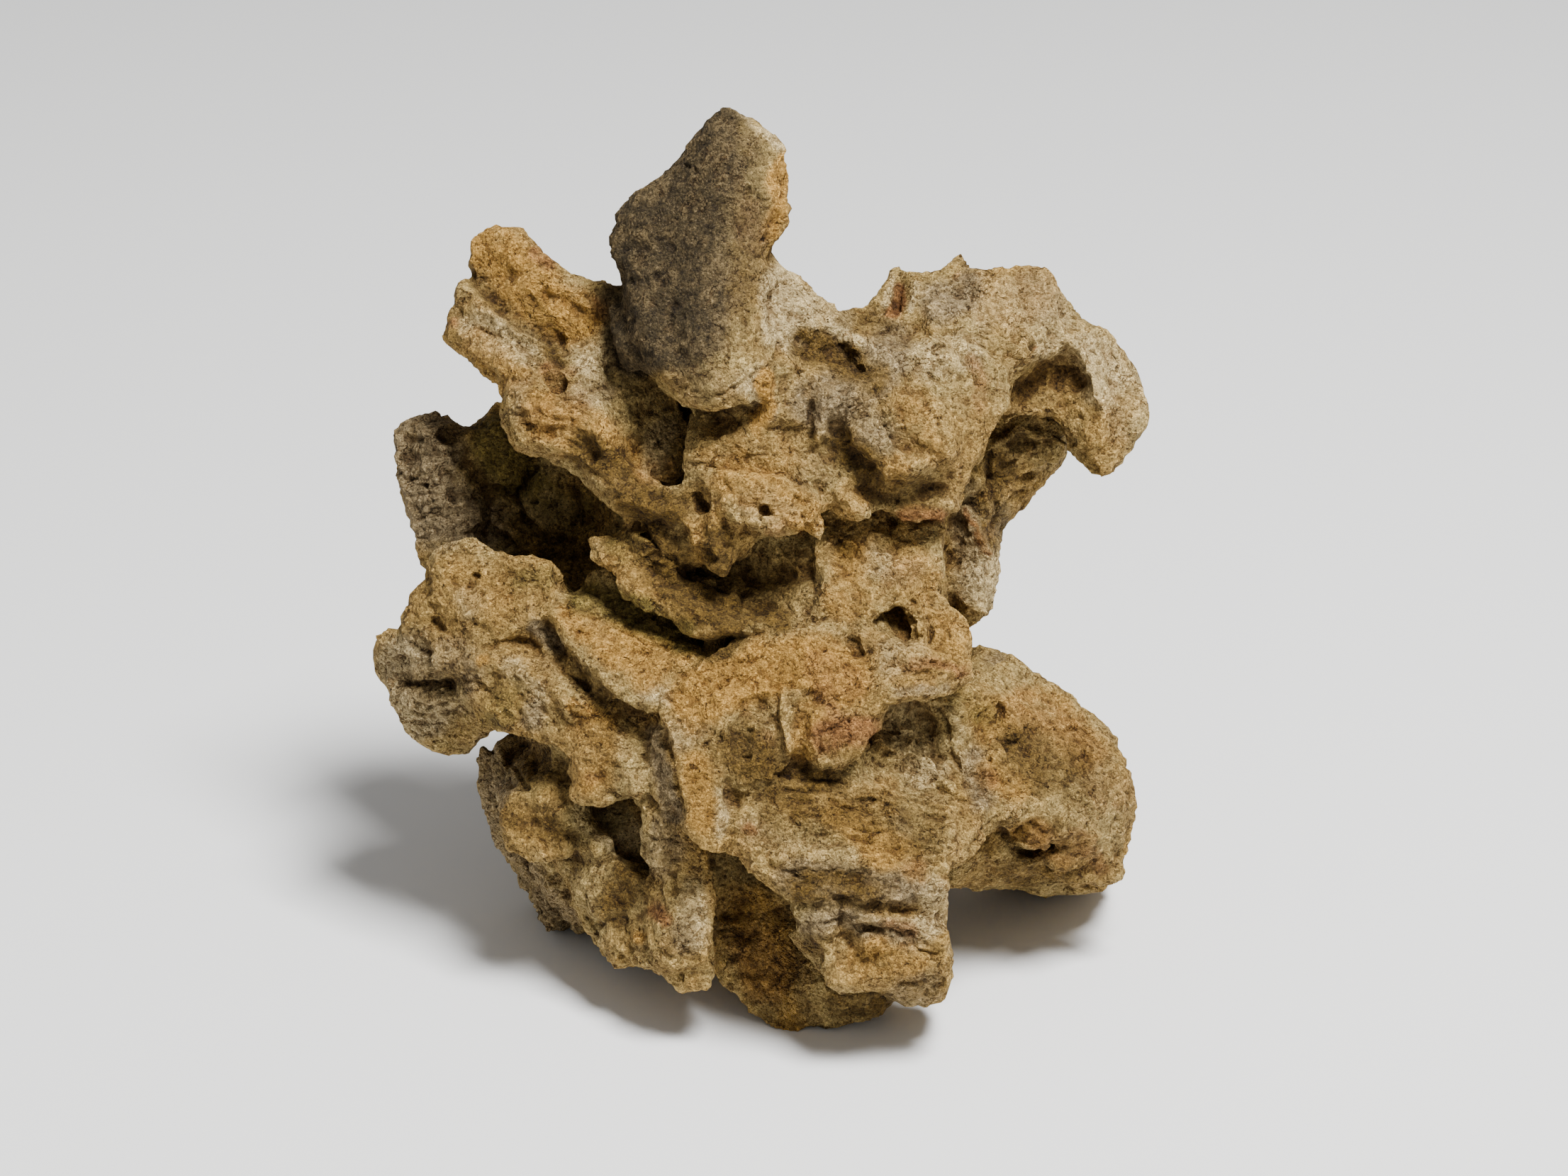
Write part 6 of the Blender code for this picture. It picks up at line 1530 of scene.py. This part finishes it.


# Stains and painted shade

# Each stain's patches: how strong, how wide, and the path or spot. The dark brown patches are
# partly a dark stain and partly painted shade in hollows, grooves, cavities and under overhangs.
STAINS_AND_SHADE = {
    "patina": (
        (1.0, 16, (-15, 108), (-20, 92), (-21, 76), (-20, 62)),
        (0.5, 10, (-5, 102), (-4, 88), (-7, 70), (-9, 60)),
        (1.0, 10, (-33, 88), (-36, 78), (-33, 66), (-31, 54)), (0.35, 8, (-22, 50), (-14, 46)),
        (-0.3, 3.4, (-6, 108), (-5, 104)), (-0.35, 5, (-6, 62), (-5, 52)),
    ),
    "ochre": (
        (0.9, 3.6, (5, 101), (4, 92), (2, 84)), (1.0, 3.4, (0.6, 47), (1.6, 41), (-1, 36)),
        (0.9, 11, (-66, 80), (-58, 70), (-46, 62)), (0.3, 6, (-60, 72)), (0.5, 7, (-70, 56), (-62, 48)),
        (0.7, 10, (-54, 38), (-40, 32), (-32, 22)), (0.6, 9, (-6, 22), (4, 18), (10, 14)),
        (0.4, 8, (-12, 30), (4, 28)), (0.5, 7, (20, 15), (24, 20), (32, 25)), (0.45, 9, (38, 40), (40, 32)),
        (0.6, 8, (22, 2), (20, -8)), (0.45, 8, (36, 4), (42, -6), (48, -16)),
        (0.4, 7, (-36, 2), (-22, -8), (-10, -13)), (0.4, 8, (-74, 0), (-66, -8)),
        (0.8, 7, (-46, -12), (-38, -18), (-28, -26)), (0.6, 8, (-42, -38), (-42, -50)),
        (1.0, 2.4, (-48, -33)), (1.0, 2.6, (-69, -22)), (0.9, 3, (-43, -52)),
        (1.0, 10, (-16, -32), (0, -24), (12, -22), (20, -27)), (0.3, 8, (36, -24), (46, -22)),
        (1.0, 5, (-15.4, -48), (-15, -62)), (0.6, 6, (12, -36), (10, -44)),
        (0.9, 6, (19, -61), (26, -66), (30, -70)), (0.6, 5, (34, -68), (38, -74)),
        (0.5, 8, (8, -56), (30, -56)), (0.5, 6, (-58, -62), (-52, -67)), (0.8, 3, (-31, -90)),
        (0.7, 4.6, (64, -65), (68, -65)), (0.6, 2.6, (74, -72)), (0.7, 10, (-2, -84), (2, -98)),
        (0.6, 9, (56, -36), (70, -34), (80, -44)), (0.6, 6, (56, -50), (64, -54)),
        (0.7, 7, (-22, -20), (-34, -12)), (0.5, 5, (-17, -102)), (0.8, 4, (28, -92)),
        (0.5, 7, (36, -96), (22, -98)), (0.6, 5, (4, -103), (8, -112)), (0.5, 4, (-86, 38)),
        (0.5, 8, (-16, 17), (-12, 4)), (0.35, 12, (60, 66), (70, 70)), (0.3, 9, (84, 30), (88, 40)),
    ),
    "cream": (
        (0.9, 1.8, (-10, 114), (-4, 111), (1, 108), (5, 103)), (0.8, 5.5, (4, 74), (5, 66), (3, 58)),
        (0.6, 5, (12, 66), (20, 62)), (0.9, 3, (18, 60.6), (24, 55.6), (31, 52)),
        (0.6, 8, (-70, 60), (-60, 56)), (0.6, 8, (-48, 66), (-43, 60), (-42, 52)),
        (1.0, 8, (5, 70), (7, 64), (9, 58)), (0.8, 10, (55, 12), (56, -4)), (0.4, 7, (32, -22), (38, -21)),
        (0.5, 5, (30, -88), (40, -89)), (0.6, 9, (-88, -22), (-84, -34)), (0.5, 6, (38, -74), (40, -78)),
        (0.8, 8, (82, 54), (84, 46)), (0.7, 5, (-1, 46), (1, 40)), (0.8, 10, (-88, -24), (-84, -34)),
        (0.6, 2, (32, 72), (31, 66)), (0.6, 2, (38, 70), (37, 64)), (0.5, 10, (56, 66), (68, 66), (72, 58)),
        (0.55, 9, (34, -36), (38, -42), (40, -48)), (0.6, 6, (-28, 26), (-24, 34)),
        (0.5, 7, (-56, 17), (-48, 14)), (0.8, 8, (-42, -60), (-34, -66)),
        (0.3, 2.4, (42, -32.6), (47, -36), (48.8, -40), (48, -44), (49.4, -47.4)),
        (0.5, 8, (50, 54), (40, 52)), (0.45, 9, (90, 48), (90, 38)), (0.5, 6, (-2, 17), (6, 14)),
        (0.5, 6, (-4, 47)), (0.45, 5, (-62, -24), (-56, -30), (-56, -36)), (0.4, 7, (-72, -8)),
        (0.7, 4, (-28, -30), (-24, -31)), (0.5, 3, (-11, -56), (-10, -64)), (0.4, 7, (-16, -36), (-20, -40)),
        (0.25, 6, (-2, -64), (10, -70), (20, -71)), (0.3, 10, (72, -40), (80, -48)),
        (0.6, 6, (-18, -80), (-17, -90)), (0.5, 6, (44, -80), (42, -86)), (0.4, 6, (36, 0), (28, 2)),
    ),
    "grey": (
        (0.3, 7, (6, 62), (3, 70)), (0.8, 8, (44, 66), (50, 69)), (0.7, 9, (32, 56), (28, 48), (12, 42)),
        (0.6, 7, (16, 38), (30, 33)), (0.5, 6, (-40, 44), (-44, 42)), (0.5, 5, (-60, 44), (-58, 38)),
        (0.6, 8, (70, 66), (68, 70)), (0.9, 14, (-84, 32), (-80, 14), (-72, 10)),
        (0.4, 7, (54, 12), (50, -4)), (0.9, 3.4, (-56, -14), (-51, -19)),
        (0.5, 12, (-88, -22), (-82, -34), (-76, -24)), (0.8, 4, (-27, -40), (-25, -50), (-22, -60)),
        (0.6, 2.0, (34, -29.8), (46, -29)), (0.9, 7, (8, -76), (24, -78), (36, -78)),
        (0.7, 5, (54, -56), (52, -47)), (0.6, 6, (12, -88), (18, -84)), (0.7, 5, (36, -91), (22, -86)),
        (0.7, 12, (-66, -48), (-62, -74), (-52, -86)), (0.5, 7, (-24, -64), (-24, -72)),
        (0.5, 5, (-20, -88), (-18, -92)), (0.5, 7, (30, -106), (40, -103)), (0.5, 5, (58, -22)),
        (0.5, 4, (35, -65), (34, -62)), (0.6, 5, (-57, -35)), (0.5, 5, (48, 10), (52, 20)),
    ),
    "rust": (
        (0.7, 3.2, (-56, 78), (-53, 75)), (0.6, 3, (-77, 62)), (0.5, 4, (-53, 50), (-48, 49)),
        (0.6, 3.6, (-41, 66), (-38, 64)), (0.3, 8, (-54, 37), (-46, 40)), (0.5, 6, (-4, 88), (-3, 82)),
        (0.9, 2.4, (33.6, 69), (33.4, 64)), (0.6, 2.2, (47.6, 73)),
        (0.45, 3.4, (51, 52), (54, 46), (54, 40)), (0.9, 1.2, (67, 55)), (0.8, 3.4, (35, 14.6), (43, 14)),
        (0.9, 1.8, (50.6, 15), (53, 10), (56, 4)), (0.35, 4, (32, -2), (38, 2)),
        (0.5, 3.4, (2, 10), (10, 10)), (0.8, 6, (16, -41), (21, -39), (25, -40)),
        (0.7, 2.4, (38, -22.6), (44, -22.4), (49, -25)), (0.5, 1.4, (38, -24.6), (45, -24)),
        (0.5, 4, (0, -42)), (0.6, 4, (56, -51)), (0.5, 4, (78, -66), (82, -70)), (0.7, 2.6, (-3, -64)),
        (0.5, 6, (68, -66), (74, -71)), (0.35, 8, (64, -34), (78, -42), (86, -54)), (0.5, 4, (38, -73)),
        (0.5, 3, (84, -74)), (0.8, 3, (-26, -84), (-24, -86)), (0.6, 3, (-42, -51)),
        (0.5, 4, (14, -30), (16, -34)), (0.4, 6, (-28, 24), (-24, 24)), (0.4, 7, (14, -24), (22, -28)),
        (0.6, 2, (56, 12), (56, 8)), (0.5, 3, (31, -87), (38, -89)), (0.45, 9, (-2, -92), (2, -102)),
    ),
    "olive": (
        (1.0, 10, (-66, 32), (-60, 24)), (0.6, 9, (-54, 18), (-46, 14)),
        (0.8, 7, (-44, -6), (-32, -10), (-20, -16)), (0.5, 7, (-62, -30), (-66, -36)),
        (0.2, 9, (34, -38), (40, -46)), (0.5, 5, (-54, -2), (-60, -3)), (0.5, 6, (-36, 6), (-30, 6)),
        (0.5, 6, (50, -32), (56, -36)), (0.5, 8, (-44, -62), (-38, -60)), (0.4, 7, (-62, -48), (-56, -52)),
    ),
    # Dark brown: partly a dark stain, partly painted shade in hollows, grooves and under overhangs.
    "umber_and_shade": (
        (0.6, 5, (-27, 86), (-24, 78), (-17, 80)), (0.5, 4, (-31, 70), (-30, 60)),
        (0.5, 4, (-22, 70), (-20, 62)), (0.6, 3.4, (-71, 72), (-66, 67), (-60, 61), (-54, 56), (-50, 52)),
        (0.45, 4, (-60, 70), (-54, 62), (-50, 56)), (0.8, 7, (10, 56), (20, 52), (27, 48)),
        (0.8, 7, (-20, -4), (-14, -9), (-8, -11)), (0.4, 9, (64, -44), (76, -50)),
        (0.5, 7, (8, -78), (24, -79)), (0.35, 5, (-24, -66), (-18, -72)), (0.3, 9, (-14, -52), (-16, -62)),
        (0.2, 7, (-29, 42), (-26, 34)), (0.7, 6, (-26, 12), (-20, 5)), (0.6, 7, (-17, 17)),
        (0.3, 6, (-12, 34), (-4, 34)), (0.9, 7, (-44, 30), (-38, 27), (-34, 20), (-26, 16)),
        (0.9, 6, (-11, 8), (-10, 1)), (0.95, 4.4, (-8, -12), (4, -12)), (0.95, 6, (-32, 17), (-22, 16)),
        (0.5, 8, (-8, -42), (0, -46)), (0.8, 5, (60, 25), (56, 26)),
        (0.5, 9, (-28, 2), (-18, -6), (-14, -10)), (0.6, 12, (6, -58), (24, -60), (38, -64)),
        (0.4, 8, (-42, -42), (-40, -50)), (0.4, 14, (66, -46), (80, -50)), (0.55, 8, (10, -78), (28, -79)),
        (0.6, 8, (-54, -62), (-60, -60)), (0.4, 6, (28, -104), (28, -108)), (0.4, 5, (-20, -80), (-20, -90)),
        (0.35, 7, (20, 26), (28, 28)), (0.5, 10, (-4, -2), (4, -7), (10, -3)), (0.5, 7, (-26, 2), (-14, -8)),
        (0.9, 6, (20, 32), (26, 24)), (0.6, 7, (28, 20), (40, 19)), (0.5, 6, (12, 55), (18, 53)),
        (0.4, 8, (66, 44), (73, 48), (77, 46)), (0.5, 6, (62, 32), (74, 33)), (0.7, 6, (56, 18), (58, 8)),
        (0.3, 4, (32, -13), (36, -17)), (0.8, 6, (-8, -18), (-12, -20)), (0.7, 7, (-58, 6), (-46, 4)),
        (0.5, 8, (-84, -28), (-78, -28)), (0.8, 7, (-4, -42), (-2, -50)), (0.8, 8, (-34, -76), (-36, -84)),
        (0.4, 14, (-2, -78), (2, -92), (4, -104)), (0.7, 7, (20, -107), (28, -107)),
        (0.4, 6, (60, -65), (76, -68)), (0.6, 7, (62, -75), (74, -76)), (0.6, 5, (12, -92)),
        (0.5, 6, (-50, -66), (-46, -72)), (0.6, 7, (-60, -46), (-50, -50)), (0.5, 6, (6, -52), (18, -52)),
        (0.2, 6, (50, -6), (50, 2)), (0.6, 5, (-44, -27), (-38, -33)), (0.5, 6, (-76, 34), (-72, 36)),
        (0.5, 5, (20, 64), (30, 60)),
    ),
}


# The material darkens the colour where these are low and lightens it where they are high: painted shade in
# hollows and creases, and painted highlights on crests.
def relief_layers(skin):
    """Stores how far each point stands out of, or lies in, its surroundings, fine and broad."""
    for name, rounds, span in (("fine_relief", 4, 0.4), ("broad_relief", 30, 1.9)):
        height = ((skin.points - skin.averaged(skin.points, rounds)) * skin.normals).sum(1)
        skin.store(name, np.clip(0.5 + 0.5 * height / span, 0.0, 1.0))


# The material darkens the colour where this is low: painted shade in holes and recesses.
def openness(skin, rays=20, reach=45.0, seed=5, directions=64, lift=0.25):
    """Stores how open the surroundings of each point are: 0 in a deep hole, 1 on a bare face."""
    mesh = skin.piece.data
    mesh.calc_loop_triangles()
    triangles = np.empty(len(mesh.loop_triangles) * 3, np.int32)
    mesh.loop_triangles.foreach_get("vertices", triangles)
    tree = BVHTree.FromPolygons(skin.points.tolist(), triangles.reshape(-1, 3).tolist())
    chance = np.random.default_rng(seed)
    aims = chance.normal(size=(directions, 3))
    aims /= np.linalg.norm(aims, axis=1)[:, None]
    starts = (skin.points + skin.normals * lift).tolist()
    open_share = np.zeros(len(starts))
    order = chance.integers(0, len(aims), (len(starts), rays))
    for number, start in enumerate(starts):
        free = 0.0
        normal = skin.normals[number]
        tilted = aims[order[number]] + normal
        for aim in tilted.tolist():
            if tree.ray_cast(start, aim, reach)[0] is None:
                free += 1.0
        open_share[number] = free / rays
    skin.store("openness", skin.averaged(open_share, 2))


def stain(skin):
    """Paints every stain's patches, each in a layer of its own; the dark brown ones are partly painted
    shade.
    """
    for name, patches in STAINS_AND_SHADE.items():
        layer = np.zeros(len(skin.points))
        for amount, width, *path in patches:
            skin.paint(layer, amount, width, *path)
        skin.store(name, layer)


# The stains' tints; the dark brown one also tints the painted shade.
STAIN_AND_SHADE_COLOURS = {
    "cream": (0.56, 0.42, 0.2, 1), "grey": (0.28, 0.205, 0.104, 1), "ochre": (0.43, 0.235, 0.05, 1),
    "olive": (0.17, 0.12, 0.026, 1), "rust": (0.26, 0.12, 0.036, 1), "umber_and_shade": (0.125, 0.072, 0.014, 1),
}


GOLDEN_TAN = (0.355, 0.218, 0.058, 1)
PALE_TAN = (0.385, 0.272, 0.096, 1)
BROWN_TAN = (0.225, 0.135, 0.048, 1)
PATINA_DARK = (0.052, 0.036, 0.0145, 1)
PATINA_LIGHT = (0.138, 0.096, 0.042, 1)
SALT = (0.27, 0.20, 0.12, 1)

# What the colour is multiplied by, in turn. Each row has the pattern or attribute that it follows,
# the values at which it starts and is full, its strength and its tint. The cracks are a share already.
# The rows of openness, the relief layers and the pocks are painted shade and painted highlights;
# the cracks, speckle and grain tint are the stone's own colour.
SHADES = (
    # Painted shade in holes and recesses.
    ("openness", 0.4, 0.04, 0.3, (0.54, 0.42, 0.28, 1)),
    # Painted shade in broad hollows.
    ("broad_relief", 0.45, 0.0, 0.5, (0.45, 0.35, 0.24, 1)),
    # Painted shade in fine creases.
    ("fine_relief", 0.46, 0.04, 0.6, (0.36, 0.28, 0.2, 1)),
    # A painted highlight on fine crests.
    ("fine_relief", 0.56, 1.0, 0.7, (1.5, 1.5, 1.5, 1)),
    # Painted shade in the hollows of the pocks, which the coarse bump follows, and a painted highlight on
    # their crests.
    ("pocks", 0.48, 0.34, 0.15, (0.42, 0.34, 0.25, 1)),
    ("pocks", 0.54, 0.68, 0.1, (1.5, 1.5, 1.5, 1)),
    ("crack", None, None, 0.8, (0.3, 0.22, 0.13, 1)),
    ("speckle", 0.48, 0.32, 0.95, (0.28, 0.235, 0.16, 1)),
    ("speckle", 0.53, 0.7, 0.9, (1.8, 1.8, 1.85, 1)),
    ("tint", 0.35, 0.0, 0.8, (0.38, 0.33, 0.25, 1)),
    ("tint", 0.7, 1.0, 0.7, (1.6, 1.62, 1.7, 1)),
)


def stone_material():
    """Sandy limestone: mottled tan with stains by attribute, gritty all over, with painted shade in
    holes, hollows and creases and painted highlights on crests.
    """
    material = bpy.data.materials.new("limestone")
    material.use_nodes = True
    tree = material.node_tree
    surface = tree.nodes["Principled BSDF"]
    place = add(tree, "ShaderNodeTexCoord").outputs["Object"]

    def share(name):
        return add(tree, "ShaderNodeAttribute", attribute_name=name).outputs["Fac"]

    def mixed(factor, first, second, kind="MIX"):
        wires = {0: factor, 6: first, 7: second}
        return add(tree, "ShaderNodeMix", wires, data_type="RGBA", blend_type=kind).outputs[2]

    def plus(*values):
        return math_node(tree, "ADD", *values)

    def times(*values):
        return math_node(tree, "MULTIPLY", *values)

    broad = noise(tree, place, 24 * MM, 4.0, 0.6).outputs[0]
    patchy = noise(tree, place, 7 * MM, 5.0, 0.65).outputs[0]
    mottle = noise(tree, place, 2.6 * MM, 4.0, 0.7).outputs[0]
    pocks = noise(tree, place, 3.0 * MM, 6.0, 0.72).outputs[0]
    speckle = noise(tree, place, 0.5 * MM, 2.0, 0.9).outputs[0]
    grains = add(tree, "ShaderNodeTexVoronoi", {"Vector": place, "Scale": 1.0 / (0.85 * MM)})
    tint = add(tree, "ShaderNodeSeparateColor", {0: grains.outputs["Color"]}).outputs[0]
    wander = noise(tree, place, 10 * MM, 4.0, 0.6, 0.6).outputs[0]
    beside = math_node(tree, "ABSOLUTE", math_node(tree, "SUBTRACT", wander, 0.5))
    crack = times(ramped(tree, beside, 0.02, 0.002), ramped(tree, patchy, 0.44, 0.56))
    colour = mixed(ramped(tree, broad, 0.38, 0.62), GOLDEN_TAN, PALE_TAN)
    colour = mixed(ramped(tree, patchy, 0.44, 0.66, 0.0, 0.5), colour, BROWN_TAN)
    patch_swing = times(math_node(tree, "SUBTRACT", patchy, 0.5), 1.3)
    mottle_swing = times(math_node(tree, "SUBTRACT", mottle, 0.5), 0.9)
    ragged = plus(patch_swing, mottle_swing)
    for name, tone in STAIN_AND_SHADE_COLOURS.items():
        laid = times(share(name), plus(1.0, times(ragged, 1.2)))
        colour = mixed(ramped(tree, laid, 0.02, 0.95), colour, tone)
    patina = mixed(ramped(tree, ragged, -0.16, 0.2), PATINA_DARK, PATINA_LIGHT)
    laid = times(share("patina"), plus(1.0, times(ragged, 0.5)))
    colour = mixed(ramped(tree, laid, 0.05, 0.8), colour, patina)
    followed = {"pocks": pocks, "speckle": speckle, "tint": tint}
    for name, off, full, strength, tone in SHADES:
        if name == "crack":
            amount = times(crack, strength)
        else:
            value = followed[name] if name in followed else share(name)
            amount = ramped(tree, value, off, full, 0.0, strength)
        colour = mixed(amount, colour, tone, "MULTIPLY")
    salt = times(ramped(tree, speckle, 0.58, 0.74, 0.0, 0.6), share("patina"))
    colour = mixed(salt, colour, SALT)
    tree.links.new(colour, surface.inputs["Base Color"])

    tree.links.new(ramped(tree, patchy, 0.3, 0.7, 0.8, 0.97), surface.inputs["Roughness"])
    surface.inputs["Specular IOR Level"].default_value = 0.22

    sand = noise(tree, place, 0.6 * MM, 2.0, 0.75).outputs[0]
    cracked = math_node(tree, "SUBTRACT", pocks, times(crack, 0.3))
    coarse = add(tree, "ShaderNodeBump", {"Strength": 1.0, "Distance": 2.4 * MM, "Height": cracked})
    gravel = math_node(tree, "SUBTRACT", sand, times(grains.outputs["Distance"], 0.7))
    wires = {"Strength": 1.0, "Distance": 0.9 * MM, "Height": gravel, "Normal": coarse.outputs[0]}
    gritty = add(tree, "ShaderNodeBump", wires)
    tree.links.new(gritty.outputs[0], surface.inputs["Normal"])
    return material


def make_rock():
    """The whole rock: rough form, fine skin, carving, weather, stains, painted shade and finish."""
    rock = rough_rock()
    fine_skin(rock, BASE_SOFTENING)
    add_stones(rock, gathered().broad, FACE_SOFTENING)
    squared(Skin(rock, None), *BROAD_FACETS)
    add_stones(rock, gathered(rock).small, STONE_SOFTENING)
    skin = Skin(rock, None)
    carve_relief(skin)
    squared(skin, *MIDDLE_FACETS)
    fine_skin(rock, 1)
    guide = rock.copy()
    guide.data = rock.data.copy()
    bpy.context.scene.collection.objects.link(guide)
    bpy.context.view_layer.update()
    skin = Skin(rock, guide)
    weathering_masks(skin)
    behind = np.flatnonzero(skin.in_front() < 0.5)
    rock.vertex_groups.new(name="behind").add(behind.tolist(), 1.0, "REPLACE")
    weather(rock)
    squared(Skin(rock, guide), *FINE_FACETS)
    weather(rock, FINE_WEAR)
    skin = Skin(rock, guide)
    for cut in (cut_upper, cut_lobe, cut_left, cut_bridge, cut_lower):
        cut(skin)
    skin.renew()
    thin(rock, SKIN_TRIANGLES, "behind")
    rock.vertex_groups.clear()
    skin = Skin(rock, guide)
    relief_layers(skin)
    openness(skin)
    stain(skin)
    bpy.data.objects.remove(guide)
    rock.data.transform(TO_WORLD)
    # The feet are ground level with the floor.
    for point in rock.data.vertices:
        point.co.z = max(point.co.z, 0.0)

    rock.data.materials.clear()
    rock.data.materials.append(stone_material())
    rock.data.shade_smooth()
    rock.data.set_sharp_from_angle(angle=math.radians(CREASE_ANGLE))
    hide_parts("limestone_rock")
    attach(rock, "root")
    return rock


make_camera()
make_floor()
make_lighting()
make_rock()
